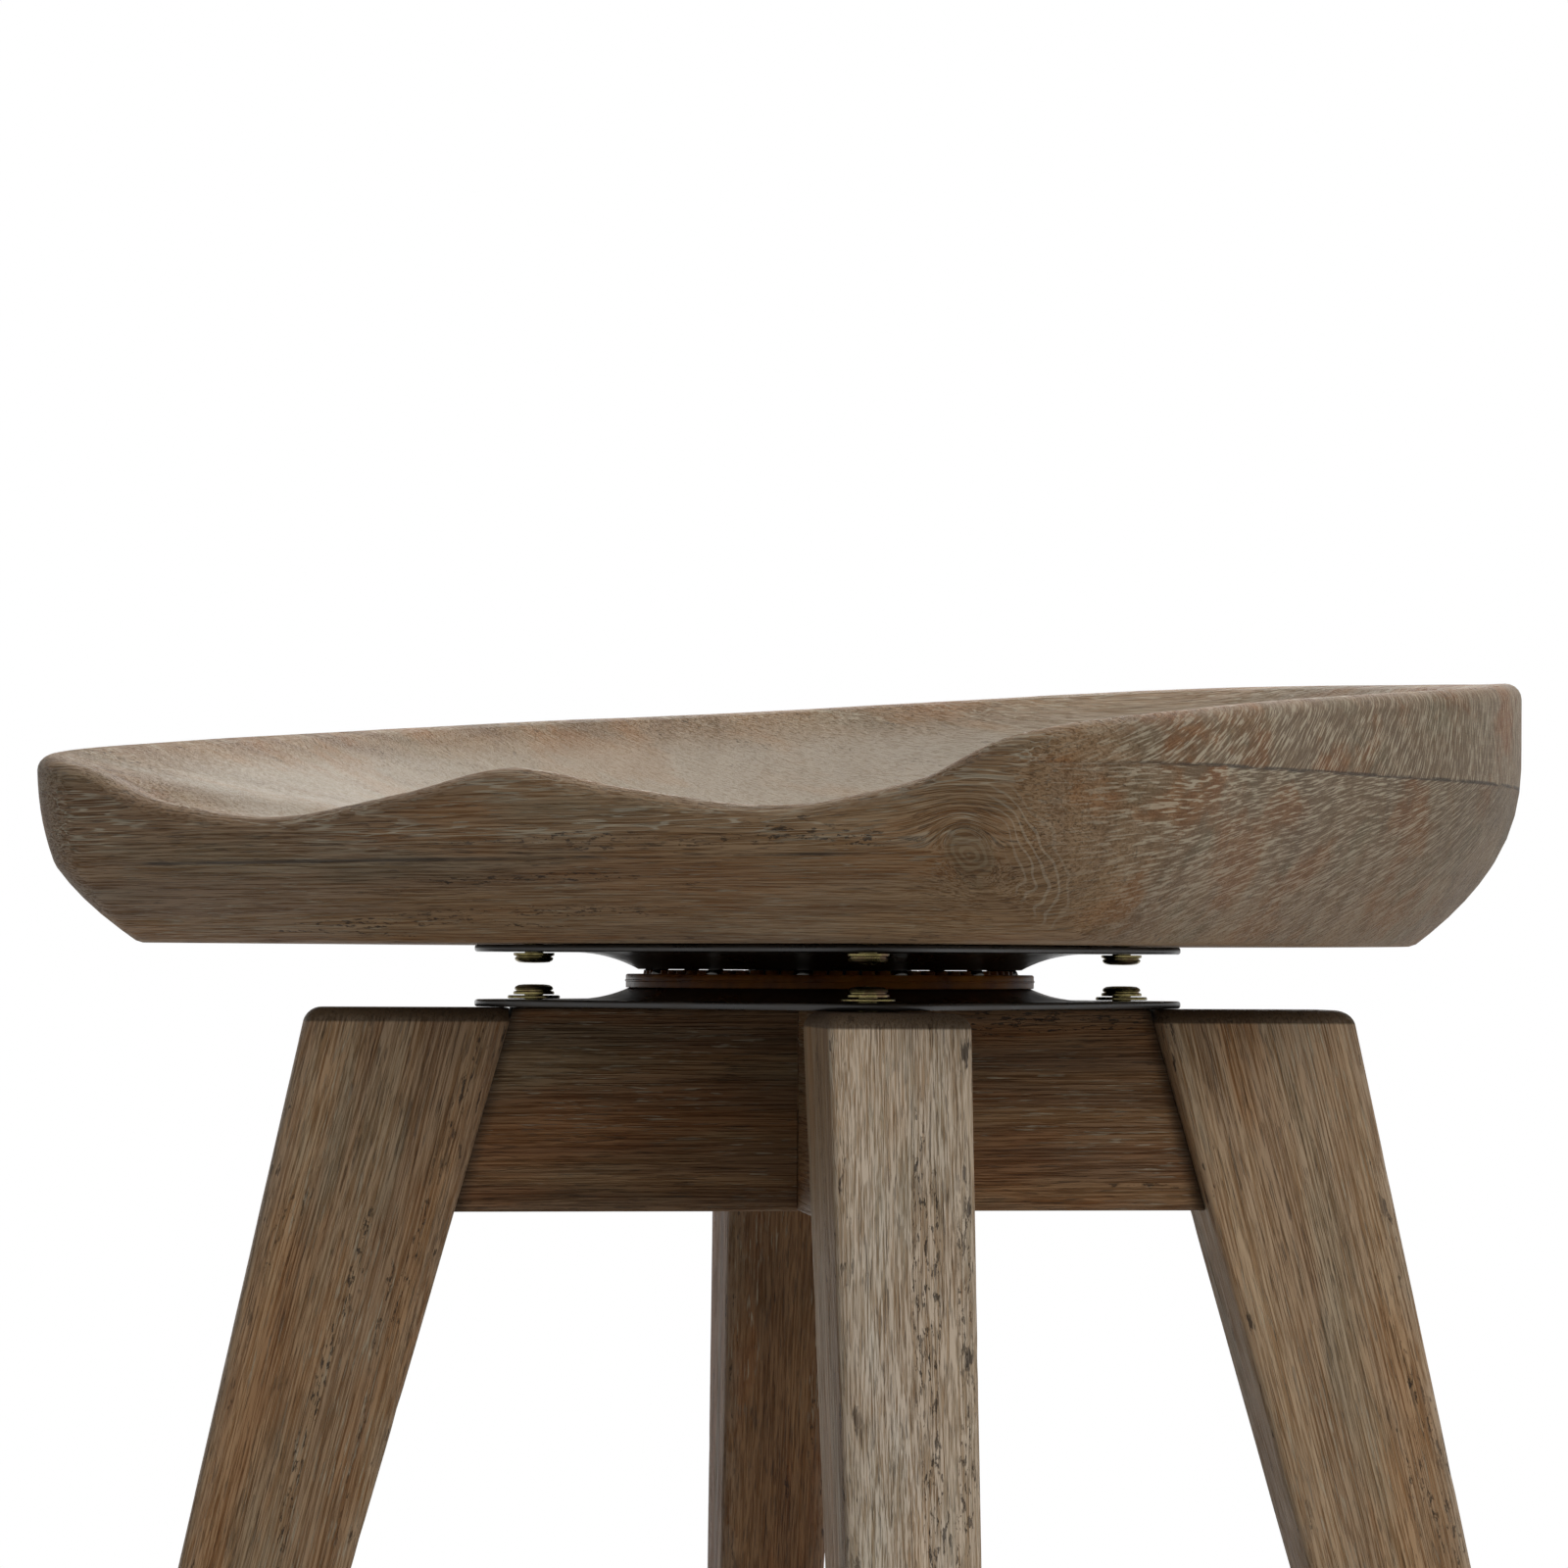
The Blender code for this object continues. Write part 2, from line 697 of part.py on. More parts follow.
# Screws and washers
def screw_profile(length):
    """A pan-head screw, its head upwards and the underside of the head at height 0."""
    return [
        (0, SCREW_HEAD_HEIGHT),
        (SCREW_HEAD_RADIUS - 2 * SCREW_HEAD_ROUND, SCREW_HEAD_HEIGHT),
        (SCREW_HEAD_RADIUS - SCREW_HEAD_ROUND / 2, SCREW_HEAD_HEIGHT - SCREW_HEAD_ROUND / 2),
        (SCREW_HEAD_RADIUS, SCREW_HEAD_HEIGHT - 2 * SCREW_HEAD_ROUND),
        (SCREW_HEAD_RADIUS, 0),
        (SCREW_RADIUS, 0),
        (SCREW_RADIUS, SCREW_POINT - length),
        (0, -length),
    ]


def make_screws():
    plate_top = SWIVEL_BOTTOM + PLATE_THICKNESS
    washer_low = plate_top + FIT_GAP
    washer_high = washer_low + WASHER_THICKNESS
    head_low = washer_high + FIT_GAP
    base_length = head_low - BASE_HEIGHT + BASE_SCREW_LENGTH - HOLE_END_CLEARANCE
    seat_head = SWIVEL_TOP - PLATE_THICKNESS - FIT_GAP
    seat_length = SEAT_BOTTOM - seat_head + SEAT_SCREW_LENGTH - HOLE_END_CLEARANCE
    base_screw = freeze(turned("base_screw", screw_profile(base_length), ZINC, SMALL_STEPS))
    seat_screw = freeze(turned("seat_screw", screw_profile(seat_length), ZINC, SMALL_STEPS))
    hole = SCREW_RADIUS + BORE_CLEARANCE
    washer = turned(
        "washer",
        [
            (hole, WASHER_THICKNESS),
            (WASHER_RADIUS, WASHER_THICKNESS),
            (WASHER_RADIUS, 0),
            (hole, 0),
        ],
        ZINC,
        MIDDLE_STEPS,
        ring=True,
    )
    freeze(washer)
    copies(base_screw, [f"base_screw_{name}" for name in LEG_NAMES], QUARTER_TURNS)
    copies(washer, [f"washer_{name}" for name in LEG_NAMES], QUARTER_TURNS)
    turning = copies(seat_screw, [f"seat_screw_{name}" for name in LEG_NAMES], QUARTER_TURNS)
    for name, place in zip(LEG_NAMES, screw_places()):
        bpy.data.objects[f"base_screw_{name}"].location = place + Vector((0, 0, head_low))
        bpy.data.objects[f"washer_{name}"].location = place + Vector((0, 0, washer_low))
        screw = bpy.data.objects[f"seat_screw_{name}"]
        screw.location = place + Vector((0, 0, seat_head))
        screw.rotation_euler = (math.pi, 0, 0)
    return turning


# Seat
def seat_half_outline():
    """Points, outward directions and distances along the seat's widest outline, front to back."""
    half = SEAT_WIDTH / 2
    corner_x = half - SEAT_CORNER_RADIUS
    corner_y = SEAT_CORNER_RADIUS - SEAT_FRONT
    for step in range(SEAT_FRONT_STEPS):
        yield Vector((corner_x * step / SEAT_FRONT_STEPS, -SEAT_FRONT)), Vector((0, -1))
    for step in range(SEAT_CORNER_STEPS + 1):
        angle = math.radians(90 * step / SEAT_CORNER_STEPS - 90)
        out = Vector((math.cos(angle), math.sin(angle)))
        yield Vector((corner_x, corner_y)) + out * SEAT_CORNER_RADIUS, out
    for step in range(1, SEAT_SIDE_STEPS):
        yield Vector((half, corner_y * (1 - step / SEAT_SIDE_STEPS))), Vector((1, 0))
    for step in range(SEAT_BACK_STEPS + 1):
        angle = math.radians(90 * step / SEAT_BACK_STEPS)
        point = Vector((half * math.cos(angle), SEAT_BACK * math.sin(angle)))
        out = Vector((math.cos(angle) / half, math.sin(angle) / SEAT_BACK)).normalized()
        yield point, out


def landmark_distances(points):
    """Distance along the outline from the middle of the front to each point."""
    distances = [0.0]
    for first, second in zip(points, points[1:]):
        distances.append(distances[-1] + (second - first).length)
    return distances


def smooth_step(share):
    share = min(max(share, 0.0), 1.0)
    return share * share * (3 - 2 * share)


def through(knots, distance):
    """A smooth curve through (distance, height) knots that never overshoots them."""
    slopes = []
    for index in range(len(knots)):
        if index in (0, len(knots) - 1):
            slopes.append(0.0)
            continue
        (xa, ya), (xb, yb), (xc, yc) = knots[index - 1 : index + 2]
        before = (yb - ya) / (xb - xa)
        after = (yc - yb) / (xc - xb)
        flat = before * after <= 0
        slopes.append(0.0 if flat else 2 * before * after / (before + after))
    for (start, end), (slope, next_slope) in zip(zip(knots, knots[1:]), zip(slopes, slopes[1:])):
        if distance <= end[0]:
            break
    span = end[0] - start[0]
    t = min(max((distance - start[0]) / span, 0.0), 1.0)
    rise = end[1] - start[1]
    return (
        start[1]
        + rise * t * t * (3 - 2 * t)
        + span * (slope * t * (1 - t) ** 2 - next_slope * t * t * (1 - t))
    )


def rim_knots():
    """The knots of the edge's height with the pommel, and those of the same edge without it."""
    corner_start = SEAT_WIDTH / 2 - SEAT_CORNER_RADIUS
    corner_end = corner_start + SEAT_CORNER_RADIUS * math.pi / 2
    side_end = corner_end + SEAT_FRONT - SEAT_CORNER_RADIUS
    points = [point for point, _ in seat_half_outline()]
    back = landmark_distances(points)[-1]
    flank = (POMMEL_HEIGHT + THIGH_DIP_HEIGHT) / 2
    shoulder = THIGH_DIP_OFFSET + (corner_start - THIGH_DIP_OFFSET) * SHOULDER_PLACE
    shoulder_height = THIGH_DIP_HEIGHT + (FRONT_CORNER_HEIGHT - THIGH_DIP_HEIGHT) * SHOULDER_RISE
    swell = SIDE_HEIGHT + (BACK_HEIGHT - SIDE_HEIGHT) / 2
    front = [
        (0.0, POMMEL_HEIGHT),
        (THIGH_DIP_OFFSET * POMMEL_FLANK_PLACE, flank),
    ]
    rest = [
        (THIGH_DIP_OFFSET, THIGH_DIP_HEIGHT),
        (shoulder, shoulder_height),
        (corner_start, FRONT_CORNER_HEIGHT),
        (corner_end, CORNER_END_HEIGHT),
        (side_end, SIDE_HEIGHT),
        (side_end + (back - side_end) * BACK_SWELL_PLACE, swell),
        (back, BACK_HEIGHT),
    ]
    return front + rest, [(0.0, THIGH_DIP_HEIGHT), *rest]


def side_inset(height, frontness):
    """How far the side lies inside the widest outline: a bowed chamfer in front, a belly elsewhere."""
    belly = BELLY_INSET * max(1 - height / BELLY_TOP, 0) ** BELLY_POWER
    if height < CHAMFER_TOP:
        share = 1 - height / CHAMFER_TOP
        bowed = share * (1 - CHAMFER_BOW) + share * share * CHAMFER_BOW
        chamfer = CHAMFER_INSET + (BELLY_INSET - CHAMFER_INSET) * bowed
    else:
        left = max(1 - (height - CHAMFER_TOP) / (BELLY_TOP - CHAMFER_TOP), 0)
        chamfer = CHAMFER_INSET * left * left
    return frontness * chamfer + (1 - frontness) * belly


def dish_points(inner_edge, rim_level, pommel):
    """From the rim to the dish's middle: the rings grow rounder and the pommel fades inwards."""
    middle = Vector((0, DISH_CENTRE_BACK))
    ray = inner_edge - middle
    towards = ray.normalized()
    round_reach = 1 / math.hypot(towards.x / DISH_HALF_WIDTH, towards.y / DISH_HALF_DEPTH)
    power = DISH_POWER_BACK + (DISH_POWER_FRONT - DISH_POWER_BACK) * smooth_step(-towards.y)
    for share in DISH_RINGS:
        reach = round_reach * share + (ray.length - round_reach) * share**DISH_CORNER_POWER
        bowl = (rim_level - pommel - DISH_FLOOR) * share**power
        level = DISH_FLOOR + bowl + pommel * share**DISH_POWER_POMMEL
        yield Vector((*(middle + towards * reach), level))


def seat_section(point, out, distance, with_pommel, without_pommel):
    """One section of the seat, from the edge of the underside over the rim to the dish's middle."""
    height = through(with_pommel, distance)
    pommel = height - through(without_pommel, distance)
    corner_start = SEAT_WIDTH / 2 - SEAT_CORNER_RADIUS
    corner_length = SEAT_CORNER_RADIUS * math.pi / 2
    frontness = 1 - smooth_step((distance - corner_start) / corner_length)
    section = []

    def add(inset, level):
        section.append(Vector((*(point - out * inset), level)))

    for step in range(CHAMFER_STEPS + 1):
        level = CHAMFER_TOP * step / CHAMFER_STEPS
        add(side_inset(level, frontness), level)
    shoulder = height - RIM_ROUND
    for step in range(1, WALL_STEPS + 1):
        level = CHAMFER_TOP + (shoulder - CHAMFER_TOP) * step / WALL_STEPS
        add(side_inset(level, frontness), level)
    outer = side_inset(shoulder, frontness)
    for step in range(1, RIM_STEPS + 1):
        angle = math.radians(90 * step / RIM_STEPS)
        inset = outer + RIM_ROUND * (1 - math.cos(angle))
        add(inset, shoulder + RIM_ROUND * math.sin(angle))
    add((outer + RIM_ROUND + RIM_WIDTH) / 2, height - RIM_MIDDLE_DROP)
    section.extend(dish_points(point - out * RIM_WIDTH, height - RIM_INNER_DROP, pommel))
    return section


def make_seat():
    half = list(seat_half_outline())
    distances = landmark_distances([point for point, _ in half])
    knots = rim_knots()
    sections = [
        seat_section(point, out, distance, *knots)
        for (point, out), distance in zip(half, distances)
    ]
    mirrored = [
        [Vector((-spot.x, spot.y, spot.z)) for spot in section]
        for section in reversed(sections[1:-1])
    ]
    bm = bmesh.new()
    columns = [[bm.verts.new(spot) for spot in section] for section in sections + mirrored]
    for left, right in zip(columns, columns[1:] + columns[:1]):
        for low in range(len(left) - 1):
            bm.faces.new((left[low], right[low], right[low + 1], left[low + 1]))
    bm.faces.new([column[0] for column in reversed(columns)])
    middle = bm.verts.new((0, DISH_CENTRE_BACK, DISH_FLOOR))
    for left, right in zip(columns, columns[1:] + columns[:1]):
        bm.faces.new((left[-1], right[-1], middle))
    seat = object_from_bmesh("seat", bm, WOOD)
    depth = SEAT_SCREW_LENGTH + HOLE_END_CLEARANCE
    ends = [(place - Vector((0, 0, depth)), place + Vector((0, 0, depth))) for place in screw_places()]
    pilots = rods("seat_screw_bores", ends, SCREW_RADIUS + BORE_CLEARANCE)
    boolean(seat, "DIFFERENCE", pilots)
    freeze(seat)
    seat.location = (0, 0, SEAT_BOTTOM)
    return seat


def parent_to_axis(name, children):
    """An empty on the swivel's axis that carries what turns together."""
    axis = bpy.data.objects.new(name, None)
    axis.location = (0, 0, BASE_HEIGHT)
    PARTS.objects.link(axis)
    bpy.context.view_layer.update()
    for child in children:
        child.parent = axis
        child.matrix_parent_inverse = axis.matrix_world.inverted()


clear_scene()
PARTS = make_collection("swivel_counter_stool")
CUTTERS = make_collection("cutters", hidden=True)
WOOD = make_material("Wire-brushed grey-brown hardwood", (0.118, 0.076, 0.048), 0.62)
DOWEL_WOOD = make_material("Beech dowel", (0.520, 0.350, 0.200), 0.60)
BLACK_STEEL = make_material("Black enamelled steel", (0.012, 0.012, 0.013), 0.35, 0.4)
AMBER_NYLON = make_material("Amber nylon", (0.300, 0.110, 0.020), 0.35)
BALL_STEEL = make_material("Bearing steel", (0.560, 0.550, 0.530), 0.15, 1.0)
ZINC = make_material("Yellow zinc plated steel", (0.500, 0.400, 0.200), 0.30, 1.0)
NYLON = make_material("Black nylon", (0.020, 0.020, 0.020), 0.45)

make_legs()
make_rail("cross_rail_notched_above", QUARTER_TURNS[0], notch_from_top=True)
make_rail("cross_rail_notched_below", QUARTER_TURNS[1], notch_from_top=False)
make_rail_dowels()
make_stretchers()
make_glides()
upper_plate = make_plates()
cage_pieces = make_cage()
make_eyelet()
seat_screws = make_screws()
stool_seat = make_seat()
parent_to_axis("swivel_axis", [stool_seat, upper_plate, *seat_screws])
parent_to_axis("cage_axis", cage_pieces)
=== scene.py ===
# %% [markdown]
# # Dressing a swivel counter stool
# The joints, plates and boards of this stool are already modelled, to scale and in metres.
# This lesson gives them their looks: wire-brushed grey-brown wood, black enamelled steel,
# an amber ball cage and yellow zinc screws, under the light of a plain white studio.
# Each cell makes one thing, and the cell before it says what that thing is on the real stool.

import math

import bmesh
import bpy
from mathutils import Matrix, Vector, noise


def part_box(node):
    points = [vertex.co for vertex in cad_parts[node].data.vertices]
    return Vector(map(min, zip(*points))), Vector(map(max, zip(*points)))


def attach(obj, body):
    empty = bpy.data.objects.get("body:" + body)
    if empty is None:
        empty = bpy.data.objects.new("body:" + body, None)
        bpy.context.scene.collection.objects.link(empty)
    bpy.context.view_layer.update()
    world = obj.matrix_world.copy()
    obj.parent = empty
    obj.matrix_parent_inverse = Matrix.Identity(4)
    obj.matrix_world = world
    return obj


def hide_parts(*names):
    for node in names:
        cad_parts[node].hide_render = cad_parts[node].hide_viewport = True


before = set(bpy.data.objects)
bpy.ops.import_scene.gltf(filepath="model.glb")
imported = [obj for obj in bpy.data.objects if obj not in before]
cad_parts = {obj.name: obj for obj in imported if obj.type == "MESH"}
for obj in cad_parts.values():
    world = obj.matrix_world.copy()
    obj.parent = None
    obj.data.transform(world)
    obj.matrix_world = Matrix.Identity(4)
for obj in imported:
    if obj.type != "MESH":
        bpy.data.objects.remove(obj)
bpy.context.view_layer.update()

# %% [markdown]
# ## Where things are
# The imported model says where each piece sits, so the heights that all else hangs on are read from
# it. The other sizes are those that the maker drew the stool with.

# %% Read the driving heights
MM = 0.001
LEG_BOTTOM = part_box("leg_front_right")[0].z
BASE_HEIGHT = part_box("leg_front_right")[1].z
SWIVEL_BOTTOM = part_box("swivel_lower_plate")[0].z
SWIVEL_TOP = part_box("swivel_upper_plate")[1].z
SEAT_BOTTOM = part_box("seat")[0].z
LEG_NAMES = ("front_right", "back_right", "back_left", "front_left")
SIDE_NAMES = ("front", "right", "back", "left")
LEG_TURNS = [math.radians(90 * number - 45) for number in range(4)]
print("legs stand", round(BASE_HEIGHT, 4), "high and the seat starts at", round(SEAT_BOTTOM, 4))

# %% [markdown]
# ## Colour
# Colours are given as sRGB hex values, the way a paint chip is named. A shader works in
# linear light, so one function turns the one into the other.


# %% Turn a hex colour into linear light
def colour(hex_value):
    """The linear RGBA colour of a six-digit sRGB hex value."""
    channels = []
    for start in (0, 2, 4):
        value = int(hex_value[start : start + 2], 16) / 255
        channels.append(value / 12.92 if value <= 0.04045 else ((value + 0.055) / 1.055) ** 2.4)
    return (*channels, 1.0)


print("mid brown in linear light", [round(v, 3) for v in colour("75624f")])

# %% [markdown]
# ## A word on materials
# A procedural material is a chain of nodes. One small function adds a node, sets its properties
# and fills its sockets, with values or with links from nodes that are there already. The others
# say in one word what the chains of this stool are made of.


# %% Add one node
def add(tree, kind, sockets=None, **settings):
    """Adds a node; sockets maps an input's name or number to a value or to another node's output."""
    node = tree.nodes.new(kind)
    for name, value in settings.items():
        setattr(node, name, value)
    for name, value in (sockets or {}).items():
        if isinstance(value, bpy.types.NodeSocket):
            tree.links.new(value, node.inputs[name])
        else:
            node.inputs[name].default_value = value
    return node


def new_material(name, constants):
    """A material whose shader holds what is the same all over."""
    material = bpy.data.materials.new(name)
    material.use_nodes = True
    shader = material.node_tree.nodes["Principled BSDF"]
    for socket, value in constants.items():
        shader.inputs[socket].default_value = value
    return material, material.node_tree, shader


# %% Arithmetic, noise, blends and relief
def calculate(tree, operation, first, second=0.0, third=0.0):
    return add(tree, "ShaderNodeMath", {0: first, 1: second, 2: third}, operation=operation).outputs[0]


def times(tree, first, *others):
    for other in others:
        first = calculate(tree, "MULTIPLY", first, other)
    return first


def with_vectors(tree, operation, first, second=(0, 0, 0), third=(0, 0, 0)):
    sockets = {0: first, 1: second, 2: third}
    return add(tree, "ShaderNodeVectorMath", sockets, operation=operation).outputs[0]


def length(tree, vector):
    return add(tree, "ShaderNodeVectorMath", {0: vector}, operation="LENGTH").outputs["Value"]


def between(tree, value, low, high, least=0.0, most=1.0, curve="SMOOTHSTEP"):
    """Goes from least to most while the value goes from low to high."""
    sockets = {"Value": value, "From Min": low, "From Max": high, "To Min": least, "To Max": most}
    return add(tree, "ShaderNodeMapRange", sockets, interpolation_type=curve).outputs[0]


def speckle(tree, place, scale, detail, rough=0.5, output="Fac"):
    """Noise with so many cells per metre."""
    sockets = {"Vector": place, "Scale": scale, "Detail": detail, "Roughness": rough}
    return add(tree, "ShaderNodeTexNoise", sockets).outputs[output]


def blend(tree, share, first, second):
    """Goes from the first colour to the second; either may be a hex value."""
    first, second = (colour(hue) if isinstance(hue, str) else hue for hue in (first, second))
    sockets = {"Factor": share, 6: first, 7: second}
    return add(tree, "ShaderNodeMix", sockets, data_type="RGBA").outputs[2]


def lay(tree, tone, *layers):
    """Lays colours over a tone, each with its share."""
    for share, hue in layers:
        tone = blend(tree, share, tone, hue)
    return tone


def emboss(tree, shader, height, depth, strength):
    bump = add(tree, "ShaderNodeBump", {"Height": height, "Distance": depth, "Strength": strength})
    tree.links.new(bump.outputs[0], shader.inputs["Normal"])


print("helpers ready")

# %% [markdown]
# ## The wood
# The stool is a pale open-pored hardwood. Wire brushes tear out the soft early wood, so the hard
# lines of the grain stand proud; a grey-brown stain soaks in, and a pale filler is wiped over and
# stays in the pores. The clear coat on top is thin and nearly matt.
# A picture of planks would betray itself at the corners, where long grain turns into end grain. So
# the wood is solid: each point of a mesh has a place in the log that it was sawn from, in an
# attribute called lumber. X runs along the trunk, and Y and Z count from the pith. Growth rings are
# cylinders round that line, rays are planes through it, and pores run along it, and each shows on
# every face in its real shape. These patterns are noise, drawn out along the grain, in cells per
# metre. A pattern repeats about every second cell, so its size can be read off.


# %% Helpers for the wood
def grain_noise(tree, place, along, across, detail=3.0, rough=0.6, shift=0.0, output="Fac"):
    """Noise with so many cells per metre along and across the grain."""
    stretched = with_vectors(tree, "MULTIPLY_ADD", place, (along, across, across), (shift, shift, shift))
    return speckle(tree, stretched, 1.0, detail, rough, output)


def point_value(tree, name):
    """A number that the mesh carries for each of its points; it is 0 where the mesh has none."""
    return add(tree, "ShaderNodeAttribute", attribute_name=name).outputs["Fac"]


def add_up(tree, found, total, **shares):
    """Adds a share of each named pattern to the total."""
    for pattern, share in shares.items():
        total = calculate(tree, "MULTIPLY_ADD", found[pattern], share, total)
    return total


# %% [markdown]
# ### Where a point is in the log
# Trunks aren't straight, so the grain wanders by a few millimetres over half a metre. Round a knot
# the fibres part and close again like water round a stone, and the sum that describes such a flow
# bends them here. Above its glue joint, the seat comes from another part of the log.

# %% From the mesh to the log
WANDER = 8 * MM
KNOT_RADIUS = 7.5 * MM
KNOT_RAGGEDNESS = 7 * MM
UPPER_BOARD = Vector((0.40, 0.045, -0.104))


def place_in_log(tree, knot, glue_line):
    """The point's place in the log, after wander, knot and joint, and how far it is from the knot."""
    place = add(tree, "ShaderNodeAttribute", attribute_name="lumber").outputs["Vector"]
    wander = grain_noise(tree, place, 2.5, 14.0, detail=2.0, output="Color")
    wander = with_vectors(tree, "SUBTRACT", wander, (0.5, 0.5, 0.5))
    bent = with_vectors(tree, "MULTIPLY_ADD", wander, (0.0, WANDER, WANDER), place)
    from_knot = None
    if knot:
        away = with_vectors(tree, "SUBTRACT", bent, knot)
        flat = with_vectors(tree, "MULTIPLY", away, (0.8, 0, 1))
        distance = length(tree, flat)
        ragged = grain_noise(tree, place, 80.0, 80.0, detail=1.0, shift=3.0)
        ragged = calculate(tree, "SUBTRACT", ragged, 0.5)
        from_knot = calculate(tree, "MULTIPLY_ADD", ragged, KNOT_RAGGEDNESS, distance)
        held = calculate(tree, "MAXIMUM", distance, 0.8 * KNOT_RADIUS)
        share = calculate(tree, "POWER", calculate(tree, "DIVIDE", KNOT_RADIUS, held), 2.0)
        push = with_vectors(tree, "MULTIPLY", flat, (1.0, 0.0, -1.0))
        bent = with_vectors(tree, "MULTIPLY_ADD", push, share, bent)
    if glue_line:
        above = calculate(tree, "GREATER_THAN", point_value(tree, "height"), glue_line)
        bent = with_vectors(tree, "MULTIPLY_ADD", above, UPPER_BOARD, bent)
    return place, bent, from_knot


# %% [markdown]
# ### What a point is made of
# Fibres are furrows about 1 mm apart and some 40 mm long, with finer lines between them. Pores are
# short open vessels, and pits are larger holes that come in chains. Rays are thin sheets that run
# out from the pith, so on the end grain they fan out as pale dashes with dark gaps, 1 or 2 mm apart.
# Growth rings are about 8 mm apart, and years that grew alike make broader bands.
# On the end grain the fibres are cut across. There they are only dots, so they fade.


# %% Fibres, lines, pores, pits, rays, rings and bands
# Cells along and across the grain, detail, roughness, shift, and the levels of none and all
FURROWS_AND_HOLES = {
    "fibres": (26.0, 1500.0, 3.0, 0.6, 0.0, 0.50, 0.39),
    "lines": (40.0, 3000.0, 1.0, 0.6, 5.0, 0.46, 0.38),
    "pores": (85.0, 1500.0, 2.0, 0.6, 11.0, 0.58, 0.66),
    "pits": (230.0, 900.0, 3.0, 0.7, 17.0, 0.56, 0.63),
}
# Cells per radian, per metre from the pith and per metre of trunk, detail, and the same levels
ROUND_THE_PITH = {
    "rays": ((300.0, 190.0, 25.0), 1.0, 0.555, 0.59),
    "gaps": ((300.0, 190.0, 25.0), 1.0, 0.47, 0.42),
    "rings": ((2.2, 250.0, 1.5), 3.0, 0.40, 0.62),
    "bands": ((2.5, 90.0, 3.0), 4.0, 0.32, 0.68),
}


def wood_structure(tree, bent):
    """Sockets from 0 to 1 by name."""
    along, across, up = add(tree, "ShaderNodeSeparateXYZ", {0: bent}).outputs
    angle = calculate(tree, "ARCTAN2", up, across)
    radius = length(tree, with_vectors(tree, "MULTIPLY", bent, (0, 1, 1)))
    round_pith = add(tree, "ShaderNodeCombineXYZ", {"X": angle, "Y": radius, "Z": along}).outputs[0]
    end_grain = point_value(tree, "end_grain")
    long_grain = calculate(tree, "MULTIPLY_ADD", end_grain, -0.75, 1.0)
    found = {}
    for name, (*cells, low, high) in FURROWS_AND_HOLES.items():
        found[name] = times(tree, between(tree, grain_noise(tree, bent, *cells), low, high), long_grain)
    chains = between(tree, grain_noise(tree, bent, 7.0, 95.0, detail=2.0, shift=23.0), 0.58, 0.64)
    found["pits"] = times(tree, found["pits"], chains)
    for name, (cells, detail, low, high) in ROUND_THE_PITH.items():
        waves = speckle(tree, with_vectors(tree, "MULTIPLY", round_pith, cells), 1.0, detail, 0.6)
        found[name] = between(tree, waves, low, high)
    for name in ("rays", "gaps"):
        found[name] = times(tree, found[name], end_grain)
    return found


# %% [markdown]
# ### What the stain and the filler did
# Under the stain the wood varies in broad stripes, with warm and greenish patches.
# Stain works like a filter in front of a lamp: twice as much of it lets the square of the light
# through. So its depth is a power of the base colour, and darker wood comes out redder too. Every
# board has a depth of its own, which is partly its own tone and partly painted light and shade: the
# rails and the back left leg are stained deeper as painted shade, and the front right leg less as
# painted light. More stain stays in the furrows, and the sanded dish took the least, which is partly
# painted light on its upward face.
# Pores and rays are pale where the filler stayed in them, and dark where it was wiped out. The edges
# are rubbed paler, with some dark nicks, and the cut ends drank the most. The same dark is painted
# as shade in the corners where the rails' arms meet the legs.

# %% The wood's colour
END_GRAIN_STAIN = 0.34
WIPED_OUT = "2b2118"


def wood_colour(tree, place, bent, found, smooth):
    end_grain = point_value(tree, "end_grain")
    worn = calculate(tree, "MAXIMUM", end_grain, point_value(tree, "rubbed_smooth"))
    patches = grain_noise(tree, bent, 6.0, 40.0, detail=4.0, shift=37.0, output="Color")
    warm, green, _ = add(tree, "ShaderNodeSeparateColor", {0: patches}).outputs
    high_up = between(tree, point_value(tree, "height"), 36 * MM, 50 * MM, least=0.7)
    warm = times(tree, between(tree, warm, 0.50, 0.62, most=0.55), high_up, smooth)
    green = times(tree, between(tree, green, 0.52, 0.66, most=0.32), smooth)
    tone = blend(tree, found["bands"], "8a6f54", "a78a69")
    # The dish and the end grain are laid towards a pale grey; on the dish this is partly wear and partly
    # painted light.
    tone = lay(tree, tone, (times(tree, worn, 0.8), "998c7a"), (warm, "9f7143"), (green, "86836f"))

    depth = calculate(tree, "MULTIPLY_ADD", found["fibres"], 0.27, -0.12)
    depth = add_up(tree, found, depth, lines=0.26, rings=0.12, gaps=0.38)
    depth = calculate(tree, "MULTIPLY_ADD", depth, smooth, point_value(tree, "stain"))
    depth = calculate(tree, "MULTIPLY_ADD", end_grain, END_GRAIN_STAIN, depth)
    tone = add(tree, "ShaderNodeGamma", {0: tone, 1: depth}).outputs[0]

    cloud = grain_noise(tree, bent, 9.0, 45.0, shift=41.0)
    filler = blend(tree, between(tree, cloud, 0.46, 0.56), WIPED_OUT, "b7ac96")
    edge = point_value(tree, "edge")
    rubbed = grain_noise(tree, place, 60.0, 260.0, detail=4.0, rough=0.7, shift=43.0)
    nicks = times(tree, between(tree, rubbed, 0.60, 0.66, most=0.85), edge)
    tone = lay(
        tree,
        tone,
        (times(tree, found["pores"], 0.5, smooth), filler),
        (times(tree, found["rays"], 0.60), "c2b69f"),
        (times(tree, found["pits"], 0.85, smooth), "241b13"),
        (times(tree, between(tree, rubbed, 0.36, 0.54, most=0.28), edge), "a5917a"),
        (nicks, "2b2016"),
        # The cut ends' dark colour is also painted shade where the rails' arms meet the legs.
        (times(tree, point_value(tree, "cut_end"), 0.88), "40301d"),
    )
    return tone, nicks


